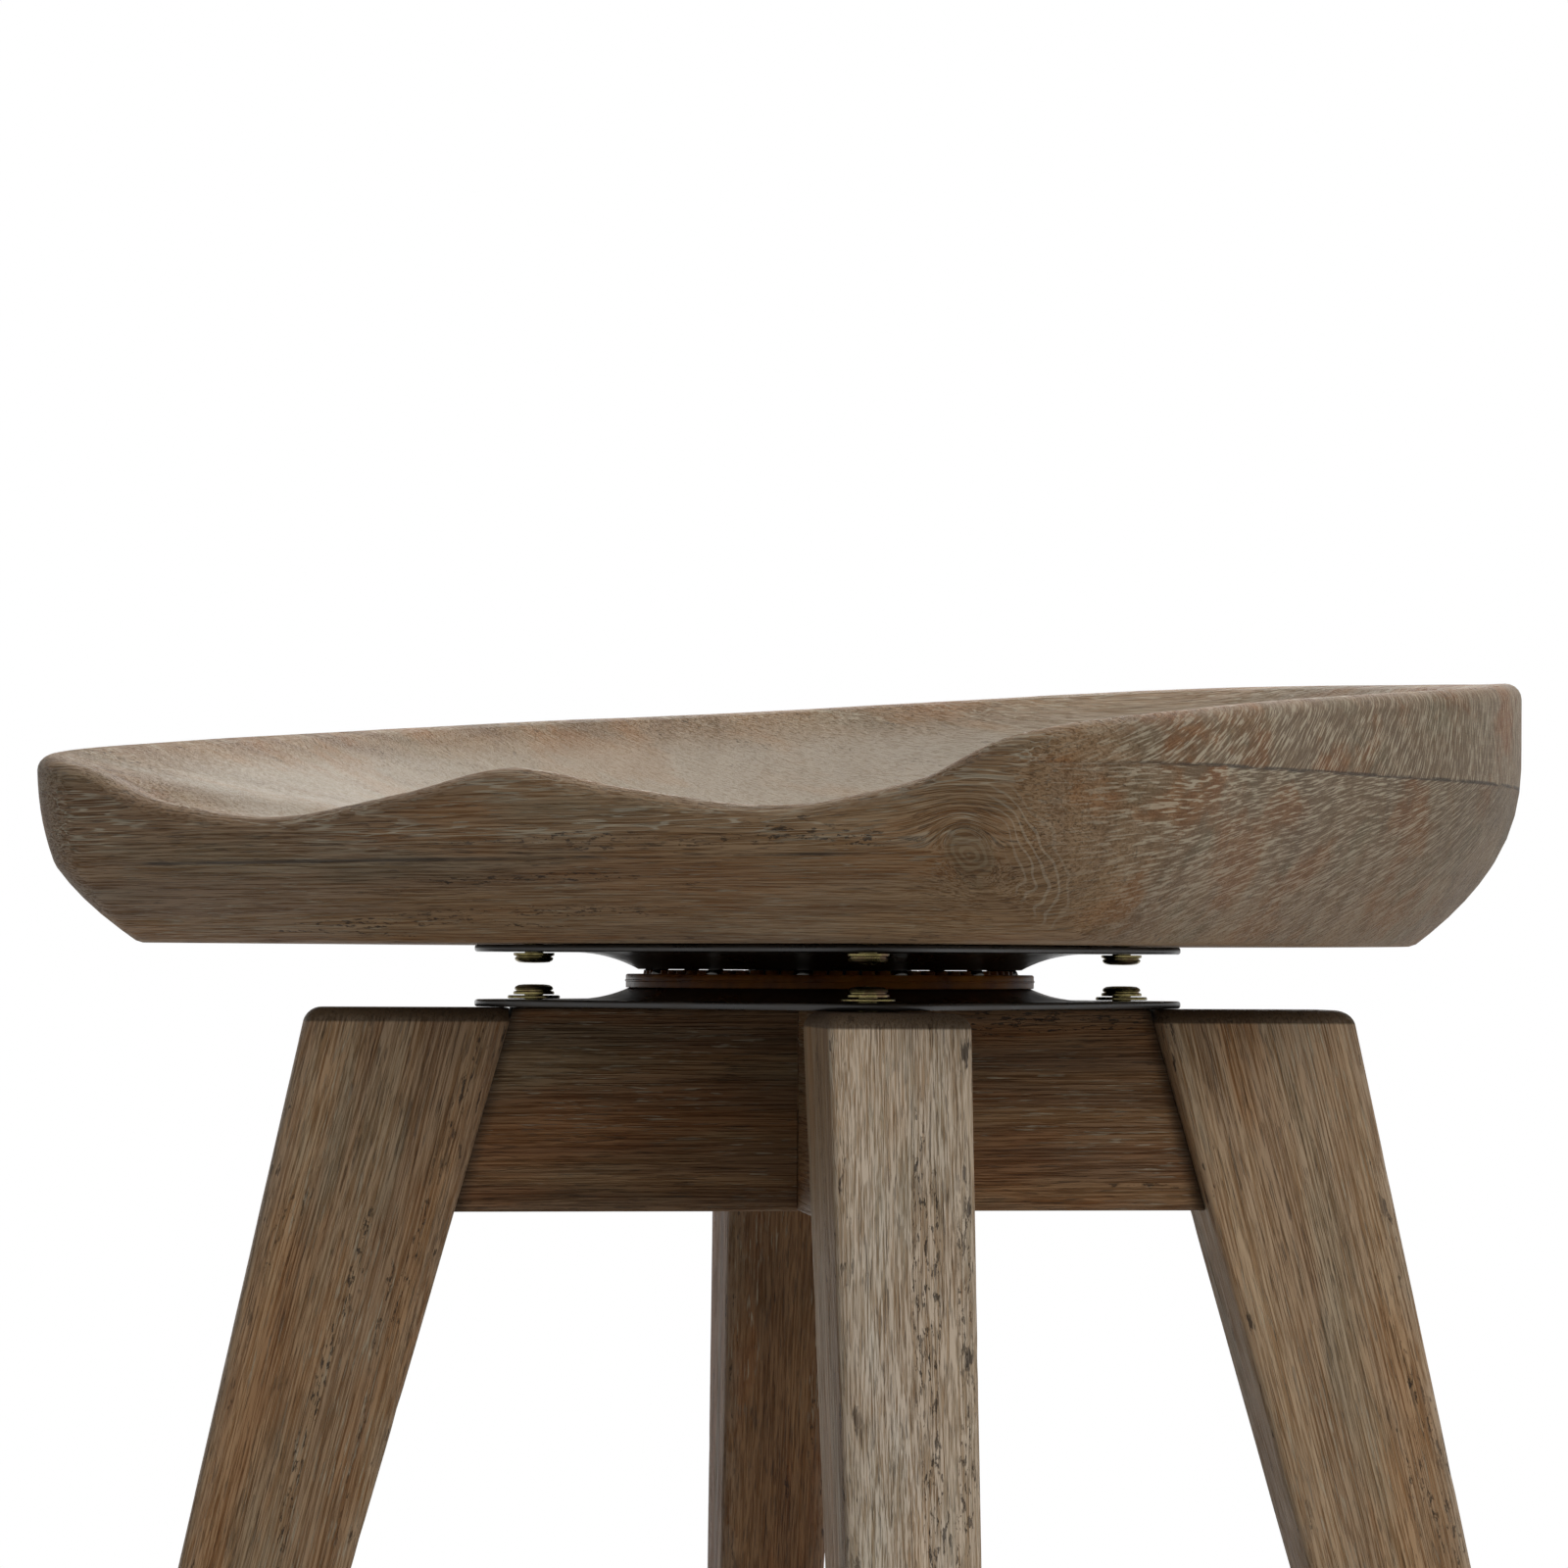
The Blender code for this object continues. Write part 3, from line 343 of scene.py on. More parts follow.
# %% [markdown]
# ### The finish
# The knot's own wood is greener, with small rings, and to its right the pale filler stays in a few
# ripples. In the upper half of the front it also stays in thin wavy lines, which are contour lines of
# a noise. Two glue joints show as dark hairlines, broken where the brushes closed them: the upper
# one on the sides of the seat, and the lower one along its front.

# %% Knot, filled grooves and glue joints of the seat
UPPER_JOINT = 48.0 * MM
LOWER_JOINT = 24.5 * MM
EYE_RINGS = 3000.0
RIPPLE_RINGS = 2600.0


def seat_details(tree, tone, bent, from_knot):
    height = point_value(tree, "height")
    end_grain = point_value(tree, "end_grain")
    long_grain = between(tree, end_grain, 0.30, 0.05)
    sides = calculate(tree, "SUBTRACT", 1.0, point_value(tree, "rubbed_smooth"))
    turns = calculate(tree, "SINE", times(tree, from_knot, EYE_RINGS))
    eye = blend(tree, between(tree, turns, -0.6, 0.8), "5b4a34", "8b8168")
    tone = blend(tree, between(tree, from_knot, 9 * MM, 5 * MM, most=0.45), tone, eye)
    ripples = times(
        tree,
        between(tree, calculate(tree, "SINE", times(tree, from_knot, RIPPLE_RINGS)), 0.5, 0.9),
        between(tree, from_knot, 9 * MM, 14 * MM, most=0.3),
        between(tree, from_knot, 26 * MM, 19 * MM),
        between(tree, add(tree, "ShaderNodeSeparateXYZ", {0: bent}).outputs[0], 0.175, 0.182),
    )
    groups = grain_noise(tree, bent, 14.0, 90.0, shift=53.0)
    waves = grain_noise(tree, bent, 28.0, 620.0, detail=1.0, shift=47.0)
    waves = calculate(tree, "ABSOLUTE", calculate(tree, "SUBTRACT", waves, 0.5))
    waves = times(
        tree,
        between(tree, waves, 0.045, 0.015, most=0.6),
        between(tree, groups, 0.44, 0.56),
        between(tree, height, 23 * MM, 34 * MM),
        calculate(tree, "MULTIPLY_ADD", point_value(tree, "edge"), -0.8, 1.0),
        long_grain,
        sides,
    )
    tone = blend(tree, calculate(tree, "MAXIMUM", ripples, waves), tone, "cfc4ad")
    for joint, shows_on in ((UPPER_JOINT, end_grain), (LOWER_JOINT, long_grain)):
        off = calculate(tree, "ABSOLUTE", calculate(tree, "SUBTRACT", height, joint))
        dark = times(
            tree,
            between(tree, off, 0.8 * MM, 0.2 * MM, most=0.8),
            between(tree, groups, 0.40, 0.52, least=0.2),
            between(tree, from_knot, 20 * MM, 40 * MM),
            shows_on,
            sides,
        )
        tone = blend(tree, dark, tone, WIPED_OUT)
    return tone


# %% [markdown]
# Brushing left furrows 0.3 mm deep, and pores and pits are small holes. The lacquer fills a little
# of them: the ridges shine like eggshell, and the furrows stay matt. The dish was sanded smooth.

# %% Wire-brushed, stained, filled and lacquered hardwood
BRUSHING_DEPTH = 0.4 * MM


def brushed_wood(name, knot=None, glue_line=None):
    material, tree, shader = new_material(name, {"IOR": 1.46, "Specular IOR Level": 0.35})
    place, bent, from_knot = place_in_log(tree, knot, glue_line)
    found = wood_structure(tree, bent)
    smooth = calculate(tree, "MULTIPLY_ADD", point_value(tree, "rubbed_smooth"), -0.65, 1.0)
    tone, nicks = wood_colour(tree, place, bent, found, smooth)
    if knot:
        tone = seat_details(tree, tone, bent, from_knot)
    tree.links.new(tone, shader.inputs["Base Color"])
    matt = between(tree, found["fibres"], 0.0, 1.0, least=0.56, most=0.82)
    tree.links.new(matt, shader.inputs["Roughness"])
    relief = times(tree, found["fibres"], -0.45)
    relief = add_up(tree, found, relief, lines=-0.3, pores=-0.35, pits=-0.9)
    relief = add_up(tree, found, relief, rays=0.4, gaps=-0.3, rings=0.2)
    relief = times(tree, calculate(tree, "MULTIPLY_ADD", nicks, -0.6, relief), smooth)
    emboss(tree, shader, relief, BRUSHING_DEPTH, 1.0)
    return material


# %% [markdown]
# The seat has its knot near the front right corner, and a second board was added on top to make
# the raised rim. The other boards are plain.

# %% Mix the wood finishes
KNOT_ON_SEAT = Vector((0.1670, -0.150, 0.0245))
SEAT_PITH = Vector((0.0, 0.075, 0.066))
seat_wood = brushed_wood(
    "Wire-brushed grey-brown hardwood, carved seat", KNOT_ON_SEAT - SEAT_PITH, UPPER_JOINT
)
frame_wood = brushed_wood("Wire-brushed grey-brown hardwood, frame boards")
print("wood nodes", len(seat_wood.node_tree.nodes))

# %% [markdown]
# ## Steel, nylon and zinc
# The small parts share one recipe: a noise is the film of dust, oil or plating that lies on them.
# It tints them and dulls them, and a second noise roughens the surface.


# %% The recipe
def filmed(name, film, hues, dulling, relief=None, constants=None):
    """film is a noise; hues are (level, hex) pairs; dulling is two levels and two roughnesses."""
    material, tree, shader = new_material(name, constants or {})
    place = add(tree, "ShaderNodeTexCoord").outputs["Object"]
    level = speckle(tree, place, *film)
    ramp = add(tree, "ShaderNodeValToRGB", {0: level})
    stops = ramp.color_ramp.elements
    stops[-1].position, stops[-1].color = hues[-1][0], colour(hues[-1][1])
    stops[0].position, stops[0].color = hues[0][0], colour(hues[0][1])
    for position, hue in hues[1:-1]:
        stops.new(position).color = colour(hue)
    tree.links.new(ramp.outputs[0], shader.inputs["Base Color"])
    dull = between(tree, level, *dulling, curve="LINEAR")
    tree.links.new(dull, shader.inputs["Roughness"])
    if relief:
        scale, detail, depth, strength = relief
        emboss(tree, shader, speckle(tree, place, scale, detail), depth, strength)
    return material


# %% [markdown]
# The two swivel plates are stamped from 2.3 mm sheet and dipped in black enamel. The enamel is
# thin and levels well, so it is glossy with a faint orange-peel, about 2 mm from crest to crest,
# and grease and dust from the bearing dull it in blotches.
# The ball cage is moulded in amber nylon. Nylon lets some light in before it scatters back, which
# is what makes a thin edge glow honey-brown, and old grease lies on it in dark smears.

# %% Black enamelled steel and amber nylon
black_steel = filmed(
    "Black enamelled pressed steel",
    film=(45.0, 5.0, 0.65),
    hues=((0.42, "110e0b"), (0.75, "2e261d")),
    dulling=(0.35, 0.70, 0.22, 0.48),
    relief=(800.0, 1.0, 0.03 * MM, 0.5),
    constants={"IOR": 1.52},
)
amber = filmed(
    "Moulded amber nylon with grease",
    film=(38.0, 4.0, 0.6),
    hues=((0.38, "5a2d0c"), (0.66, "a4661f")),
    dulling=(0.35, 0.65, 0.18, 0.42),
    relief=(420.0, 2.0, 0.05 * MM, 0.4),
    constants={
        "IOR": 1.53,
        "Specular IOR Level": 0.08,
        "Subsurface Weight": 0.25,
        "Subsurface Scale": 1.5 * MM,
    },
)
print(black_steel.name, "/", amber.name)

# %% [markdown]
# The screws and washers are steel, zinc plated and passivated in yellow chromate. That film is so
# thin that its colour shifts from straw to olive and rose with its thickness. The balls are bare
# ground steel, and the glides under the feet are moulded black nylon with a fine spark finish.
# The beech dowels that hold the joints were turned and never see any stain.

# %% Plated steel, bearing steel, black nylon and beech
zinc = filmed(
    "Yellow chromated zinc on steel",
    film=(260.0, 3.0),
    hues=((0.36, "5f5534"), (0.5, "8d8257"), (0.66, "7d6650")),
    dulling=(0.3, 0.7, 0.18, 0.36),
    relief=(2200.0, 2.0, 0.04 * MM, 0.4),
    constants={"Metallic": 1.0},
)
ball_steel = filmed(
    "Ground bearing steel, oiled",
    film=(300.0, 2.0),
    hues=((0.0, "8d8b86"), (1.0, "c9c6bf")),
    dulling=(0.0, 1.0, 0.08, 0.24),
    constants={"Metallic": 1.0},
)
nylon = filmed(
    "Spark-finished black nylon",
    film=(1400.0, 3.0),
    hues=((0.0, "17171a"), (1.0, "2e2d2e")),
    dulling=(0.0, 1.0, 0.45, 0.70),
    relief=(1400.0, 3.0, 0.08 * MM, 0.5),
    constants={"IOR": 1.53},
)
beech = filmed(
    "Plain turned beech",
    film=(900.0, 3.0),
    hues=((0.0, "b98d62"), (1.0, "dab98f")),
    dulling=(0.0, 1.0, 0.60, 0.60),
    relief=(900.0, 3.0, 0.1 * MM, 0.4),
)
print(zinc.name, "/", ball_steel.name, "/", nylon.name, "/", beech.name)

# %% [markdown]
# ## From points to pieces
# Each piece is a mesh made of rings of points, joined by four-sided faces, which shade more evenly
# than triangles. The first and last ring are closed, or joined to each other.

# %% Skin a stack of rings
SHARP_CORNER = math.radians(32)


def from_bmesh(name, bm, material=None):
    mesh = bpy.data.meshes.new(name)
    bm.to_mesh(mesh)
    bm.free()
    if material:
        mesh.materials.append(material)
    piece = bpy.data.objects.new(name, mesh)
    bpy.context.scene.collection.objects.link(piece)
    return piece


def shade(mesh):
    """Smooth, but for real corners."""
    mesh.shade_smooth()
    mesh.set_sharp_from_angle(angle=SHARP_CORNER)


def skin(name, rings, material, endless=False):
    """A mesh through rings of points; endless joins the last ring to the first."""
    size = len(rings[0])
    count = len(rings)
    faces = []
    for ring in range(count if endless else count - 1):
        here = ring * size
        there = (ring + 1) % count * size
        for step in range(size):
            after = (step + 1) % size
            faces.append((here + step, here + after, there + after, there + step))
    if not endless:
        faces.append(tuple(reversed(range(size))))
        faces.append(tuple(range((count - 1) * size, count * size)))
    bm = bmesh.new()
    points = [bm.verts.new(point) for ring in rings for point in ring]
    for face in faces:
        bm.faces.new([points[index] for index in face])
    bmesh.ops.recalc_face_normals(bm, faces=bm.faces)
    piece = from_bmesh(name, bm, material)
    shade(piece.data)
    return piece


def write_attributes(piece, **attributes):
    """Stores a number, or a vector, for each point of the mesh under each name."""
    for name, values in attributes.items():
        vectors = isinstance(values[0], Vector)
        kind = "FLOAT_VECTOR" if vectors else "FLOAT"
        attribute = piece.data.attributes.new(name, kind, "POINT")
        for item, value in zip(attribute.data, values):
            setattr(item, "vector" if vectors else "value", value)


def install(piece, body, node, place=None, turned=None):
    """The piece goes to its place, rides on its body and stands for its CAD node."""
    if place:
        piece.location = place
    if turned:
        piece.rotation_euler = turned
    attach(piece, body)
    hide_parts(node)


print("pieces are skinned with corners sharp above", round(math.degrees(SHARP_CORNER)), "degrees")

# %% [markdown]
# ## The carved seat
# The seat starts as a thick glued block, 450 by 353 mm. The dish is hollowed with a rounding
# cutter, deepest a little behind the middle, and leaves a soft ridge at the front between the
# thighs. The outside is a belly that draws in 33 mm to the flat underside, except along the front,
# where it is planed off as one broad chamfer that ends in a clear line.
# A loft keeps every size exact: one section runs from the underside up the side, over the rim and
# down into the dish, and it is repeated for 260 places round the edge.

# %% The seat's sizes
SEAT_HALF_WIDTH = 0.2250
SEAT_FRONT = 0.1580
SEAT_BACK = 0.1950
SEAT_CORNER_RADIUS = 0.0440
POMMEL_HEIGHT = 0.0512
THIGH_DIP_HEIGHT = 0.0385
THIGH_DIP_OFFSET = 0.1000
FRONT_CORNER_HEIGHT = 0.0555
CORNER_END_HEIGHT = 0.0642
SIDE_HEIGHT = 0.0740
BACK_HEIGHT = 0.0906
POMMEL_FLANK_PLACE = 0.42
SHOULDER_PLACE = 0.60
SHOULDER_RISE = 0.35
BACK_SWELL_PLACE = 0.35
BELLY_INSET = 0.0332
BELLY_TOP = 0.0590
BELLY_POWER = 2.4
CHAMFER_TOP = 0.0250
CHAMFER_INSET = 0.0040
CHAMFER_BOW = 0.38
RIM_ROUND = 0.0050
RIM_WIDTH = 0.0150
RIM_INNER_DROP = 0.0016
RIM_MIDDLE_DROP = 0.0005
DISH_FLOOR = 0.0280
DISH_CENTRE_BACK = 0.0150
DISH_HALF_WIDTH = 0.2050
DISH_HALF_DEPTH = 0.1490
DISH_CORNER_POWER = 4.0
DISH_POWER_BACK = 2.9
DISH_POWER_FRONT = 2.2
DISH_POWER_POMMEL = 5.0
CORNER_START = SEAT_HALF_WIDTH - SEAT_CORNER_RADIUS
CORNER_LENGTH = SEAT_CORNER_RADIUS * math.pi / 2
print("seat", 2 * SEAT_HALF_WIDTH, "wide,", round(SEAT_FRONT + SEAT_BACK, 3), "deep")

# %% [markdown]
# The outline is a straight front, two round corners, two straight sides and half an ellipse
# behind. The height of the edge is a smooth curve through a few heights taken round it.


# %% Outline and edge height
def seat_outline(front_steps=40, corner_steps=16, side_steps=14, back_steps=60):
    """Points and outward directions along one half of the widest outline, front to back."""
    corner_y = SEAT_CORNER_RADIUS - SEAT_FRONT
    for step in range(front_steps):
        yield Vector((CORNER_START * step / front_steps, -SEAT_FRONT)), Vector((0, -1))
    for step in range(corner_steps + 1):
        angle = math.radians(90 * step / corner_steps - 90)
        out = Vector((math.cos(angle), math.sin(angle)))
        yield Vector((CORNER_START, corner_y)) + out * SEAT_CORNER_RADIUS, out
    for step in range(1, side_steps):
        yield Vector((SEAT_HALF_WIDTH, corner_y * (1 - step / side_steps))), Vector((1, 0))
    for step in range(back_steps + 1):
        angle = math.radians(90 * step / back_steps)
        out = Vector((math.cos(angle) / SEAT_HALF_WIDTH, math.sin(angle) / SEAT_BACK))
        yield Vector((SEAT_HALF_WIDTH * math.cos(angle), SEAT_BACK * math.sin(angle))), out.normalized()


def smooth_step(share):
    share = min(max(share, 0.0), 1.0)
    return share * share * (3 - 2 * share)


def through(knots, distance):
    """A smooth curve through (distance, height) knots that never overshoots them."""
    slopes = [0.0]
    for (xa, ya), (xb, yb), (xc, yc) in zip(knots, knots[1:], knots[2:]):
        before = (yb - ya) / (xb - xa)
        after = (yc - yb) / (xc - xb)
        slopes.append(0.0 if before * after <= 0 else 2 * before * after / (before + after))
    slopes.append(0.0)
    for index, (start, end) in enumerate(zip(knots, knots[1:])):
        if distance <= end[0]:
            break
    span = end[0] - start[0]
    t = min(max((distance - start[0]) / span, 0.0), 1.0)
    bend = slopes[index] * t * (1 - t) ** 2 - slopes[index + 1] * t * t * (1 - t)
    return start[1] + (end[1] - start[1]) * smooth_step(t) + span * bend


def rim_knots(back):
    """Knots of the edge's height with the pommel, and of the same edge without it."""
    corner_end = CORNER_START + CORNER_LENGTH
    side_end = corner_end + SEAT_FRONT - SEAT_CORNER_RADIUS
    shoulder = THIGH_DIP_OFFSET + (CORNER_START - THIGH_DIP_OFFSET) * SHOULDER_PLACE
    rest = [
        (THIGH_DIP_OFFSET, THIGH_DIP_HEIGHT),
        (shoulder, THIGH_DIP_HEIGHT + (FRONT_CORNER_HEIGHT - THIGH_DIP_HEIGHT) * SHOULDER_RISE),
        (CORNER_START, FRONT_CORNER_HEIGHT),
        (corner_end, CORNER_END_HEIGHT),
        (side_end, SIDE_HEIGHT),
        (side_end + (back - side_end) * BACK_SWELL_PLACE, (SIDE_HEIGHT + BACK_HEIGHT) / 2),
        (back, BACK_HEIGHT),
    ]
    flank = (THIGH_DIP_OFFSET * POMMEL_FLANK_PLACE, (POMMEL_HEIGHT + THIGH_DIP_HEIGHT) / 2)
    return [(0.0, POMMEL_HEIGHT), flank, *rest], [(0.0, THIGH_DIP_HEIGHT), *rest]


print("the outline has", 2 * len(list(seat_outline())) - 2, "places")

# %% [markdown]
# A section has four stretches: the chamfer or the belly, the upright wall, the rounded rim, and
# the dish, whose rings grow rounder towards the middle.

# %% One section of the seat
WALL_FOOT = 26 * MM
SIDE_LEVELS = (0.7 * MM, 4 * MM, 9 * MM, 14 * MM, 19 * MM, 24 * MM, WALL_FOOT)
WALL_RINGS = 7
RIM_RINGS = 5


def side_inset(height, frontness):
    """How far the side lies inside the widest outline at a height."""
    belly = BELLY_INSET * max(1 - height / BELLY_TOP, 0) ** BELLY_POWER
    if height < CHAMFER_TOP:
        share = 1 - height / CHAMFER_TOP
        bowed = share * (1 - CHAMFER_BOW) + share * share * CHAMFER_BOW
        chamfer = CHAMFER_INSET + (BELLY_INSET - CHAMFER_INSET) * bowed
    else:
        left = max(1 - (height - CHAMFER_TOP) / (BELLY_TOP - CHAMFER_TOP), 0)
        chamfer = CHAMFER_INSET * left * left
    return frontness * chamfer + (1 - frontness) * belly


def dish_points(inner_edge, rim_level, pommel, rings=30):
    middle = Vector((0, DISH_CENTRE_BACK))
    ray = inner_edge - middle
    towards = ray.normalized()
    round_reach = 1 / math.hypot(towards.x / DISH_HALF_WIDTH, towards.y / DISH_HALF_DEPTH)
    power = DISH_POWER_BACK + (DISH_POWER_FRONT - DISH_POWER_BACK) * smooth_step(-towards.y)
    for ring in range(rings):
        share = (1 - ring / rings) ** 0.8
        reach = round_reach * share + (ray.length - round_reach) * share**DISH_CORNER_POWER
        bowl = (rim_level - pommel - DISH_FLOOR) * share**power
        level = DISH_FLOOR + bowl + pommel * share**DISH_POWER_POMMEL
        yield Vector((*(middle + towards * reach), level))


def seat_section(point, out, distance, with_pommel, without_pommel):
    height = through(with_pommel, distance)
    frontness = 1 - smooth_step((distance - CORNER_START) / CORNER_LENGTH)
    shoulder = height - RIM_ROUND
    wall = [WALL_FOOT + (shoulder - WALL_FOOT) * step / WALL_RINGS for step in range(1, WALL_RINGS + 1)]
    spots = [(BELLY_INSET + 1.2 * MM, 0.0)]
    spots += [(side_inset(level, frontness), level) for level in (*SIDE_LEVELS, *wall)]
    outer = side_inset(shoulder, frontness)
    for step in range(1, RIM_RINGS + 1):
        angle = math.radians(90 * step / RIM_RINGS)
        spots.append((outer + RIM_ROUND * (1 - math.cos(angle)), shoulder + RIM_ROUND * math.sin(angle)))
    spots.append(((outer + RIM_ROUND + RIM_WIDTH) / 2, height - RIM_MIDDLE_DROP))
    section = [Vector((*(point - out * inset), level)) for inset, level in spots]
    pommel = height - through(without_pommel, distance)
    return section + list(dish_points(point - out * RIM_WIDTH, height - RIM_INNER_DROP, pommel))


# %% [markdown]
# No cutter leaves a perfect surface, so each point is moved in by up to 0.25 mm in slow waves, the
# way sanding by hand leaves them. The sanded rim and corners get the edge wear of the wood. The
# dish is smoother than the sides, because people have sat in it, and it is paler and greyer, which is
# partly that wear and partly painted light on its upward face.

# %% Loft the seat
WALL_STAIN = 1.08
# The dish's light stain is partly painted light on its upward face.
DISH_STAIN_AND_PAINTED_LIGHT = 0.76
RIM_RING = 1 + len(SIDE_LEVELS) + WALL_RINGS
DISH_RING = RIM_RING + RIM_RINGS
WEAR_OF_RING = {RIM_RING: 0.4, RIM_RING + 2: 0.8, RIM_RING + 4: 0.4, 0: 0.7, 1: 0.7}
HAND_SANDING = 0.25 * MM
WAVES_PER_METRE = 22


def make_seat():
    half = list(seat_outline())
    distances = [0.0]
    for (first, _), (second, _) in zip(half, half[1:]):
        distances.append(distances[-1] + (second - first).length)
    knots = rim_knots(distances[-1])
    sections = [seat_section(point, out, at, *knots) for (point, out), at in zip(half, distances)]
    mirrored = [[Vector((-p.x, p.y, p.z)) for p in section] for section in reversed(sections[1:-1])]
    rings = list(zip(*(sections + mirrored)))
    places = [point.copy() for ring in rings for point in ring]
    ring_of = [index // len(rings[0]) for index in range(len(places))]
    seat = skin("carved_seat", rings, seat_wood)
    for vertex in seat.data.vertices:
        if vertex.co.z > 1 * MM:
            vertex.co -= vertex.normal * abs(noise.noise(vertex.co * WAVES_PER_METRE) * HAND_SANDING)
    in_dish = [smooth_step((ring - DISH_RING) / 5) for ring in ring_of]
    write_attributes(
        seat,
        lumber=[place - SEAT_PITH for place in places],
        height=[place.z for place in places],
        edge=[WEAR_OF_RING.get(ring, 0.0) for ring in ring_of],
        rubbed_smooth=in_dish,
        stain=[WALL_STAIN + (DISH_STAIN_AND_PAINTED_LIGHT - WALL_STAIN) * share for share in in_dish],
        end_grain=[abs(vertex.normal.x) ** 1.5 for vertex in seat.data.vertices],
    )
    return seat


seat = make_seat()
install(seat, "turning_seat", "seat", (0, 0, SEAT_BOTTOM))
print("seat faces", len(seat.data.polygons))

# %% [markdown]
# ## Boards
# A board's long edges are eased with sandpaper, and wire brushes and knocks have left small dents
# in them. Here a board is a stack of rounded rectangles. Each ring has 24 points: four to turn each
# corner and two more on each side, 4 mm in, so that the wear of an edge fades over that strip. Dents
# are real: the corner points are pushed in by a noise that is mostly zero.
# Two boards with different places in the log never show the same figure.

# %% Rounded rectangles, dents and boards
EASED_EDGE = 3.0 * MM
WEAR_STRIP = 4.0 * MM
DENT_DEPTH = 0.5 * MM
ALONG_SIDES = ((-1, 0), (0, -1), (1, 0), (0, 1))


def rounded_ring(low, high, half, radius):
    """Points of a rectangle from low to high along X and half a width along Y, and their wear."""
    x, y = high - radius, half - radius
    arcs = []
    for number, middle in enumerate(((x, y), (low + radius, y), (low + radius, -y), (x, -y))):
        angles = [math.radians(90 * number + 30 * step) for step in range(4)]
        arcs.append([Vector(middle) + radius * Vector((math.cos(a), math.sin(a))) for a in angles])
    points = []
    for arc, following, side in zip(arcs, arcs[1:] + arcs[:1], ALONG_SIDES):
        strip = WEAR_STRIP * Vector(side)
        points += [(point, 1.0) for point in arc]
        points += [(arc[-1] + strip, 0.0), (following[0] - strip, 0.0)]
    return points


def dent(point, seed):
    """How far an edge is knocked in at a point, in metres: mostly nothing."""
    knock = noise.noise(Vector((point.x * 90 + seed, point.y * 90, point.z * 140)))
    rub = noise.noise(Vector((point.x * 20, point.y * 20 + seed, point.z * 25)))
    return max(knock - 0.28, 0) * 1.6 * DENT_DEPTH + abs(rub) * 0.25 * DENT_DEPTH


def build_board(name, rings, turn, log_place, log_turn=Matrix.Identity(3), **attributes):
    """Skins the rings, finds their place in the log and turns the board about the stool's axis."""
    board = skin(name, rings, frame_wood)
    log = [log_turn @ point + Vector(log_place) for ring in rings for point in ring]
    write_attributes(board, lumber=log, **attributes)
    board.matrix_world = Matrix.Rotation(turn, 4, "Z")
    return board


print("one ring has", len(rounded_ring(0, 0.06, 0.02, EASED_EDGE)), "points")

# %% [markdown]
# ## Legs
# The legs stand on the diagonals. Their outer face leans out by 22 mm in 100, the inner one by
# 28 mm in 100, so they grow thinner both ways towards the foot. The top is rounded over on its three
# outer edges. The face that looks outwards is painted paler, as painted light where it faces the
# lamps, and most on the front right leg.

# %% The legs
LEG_TOP_INNER = 0.1017
LEG_TOP_DEPTH = 0.0640
LEG_TOP_HALF = 0.0208
LEG_FOOT_HALF = 0.0140
LEG_OUTER_RAKE = 0.220
LEG_INNER_RAKE = 0.283
LEG_ROUNDING = 4.6 * MM
INNER_ROUNDING = 1.0 * MM
FOOT_CHAMFER = 2.5 * MM
LEG_STATIONS = 96
# Each leg's stain depth is partly its own tone and partly painted light and shade: the front right leg is
# paler, the back left leg darker.
LEG_STAINS_AND_PAINTED_LIGHT = {"front_right": 0.90, "back_right": 0.93, "back_left": 1.50, "front_left": 1.06}
# How much paler the outward face is painted, as painted light: most on the front right leg.
OUTER_FACE_PAINTED_LIGHT = {"front_right": 0.38}
LITTLE_OUTER_FACE_PAINTED_LIGHT = 0.20


def leg_faces(height):
    """Inner and outer reach and half width of a leg at a height."""
    down = BASE_HEIGHT - height
    half = LEG_TOP_HALF + (LEG_FOOT_HALF - LEG_TOP_HALF) * down / (BASE_HEIGHT - LEG_BOTTOM)
    inner = LEG_TOP_INNER + LEG_INNER_RAKE * down
    return inner, LEG_TOP_INNER + LEG_TOP_DEPTH + LEG_OUTER_RAKE * down, half


def leg_stations():
    """(height, inset, share of cut end) of each ring, from the foot to the top."""
    bottom = LEG_BOTTOM + FOOT_CHAMFER
    top = BASE_HEIGHT - LEG_ROUNDING
    yield LEG_BOTTOM, FOOT_CHAMFER, 1.0
    for step in range(LEG_STATIONS + 1):
        yield bottom + (top - bottom) * step / LEG_STATIONS, 0.0, 0.0
    for degrees in (8, 20, 35, 50, 65, 80, 90):
        turned = math.radians(degrees)
        yield top + LEG_ROUNDING * math.sin(turned), LEG_ROUNDING * (1 - math.cos(turned)), 1.0


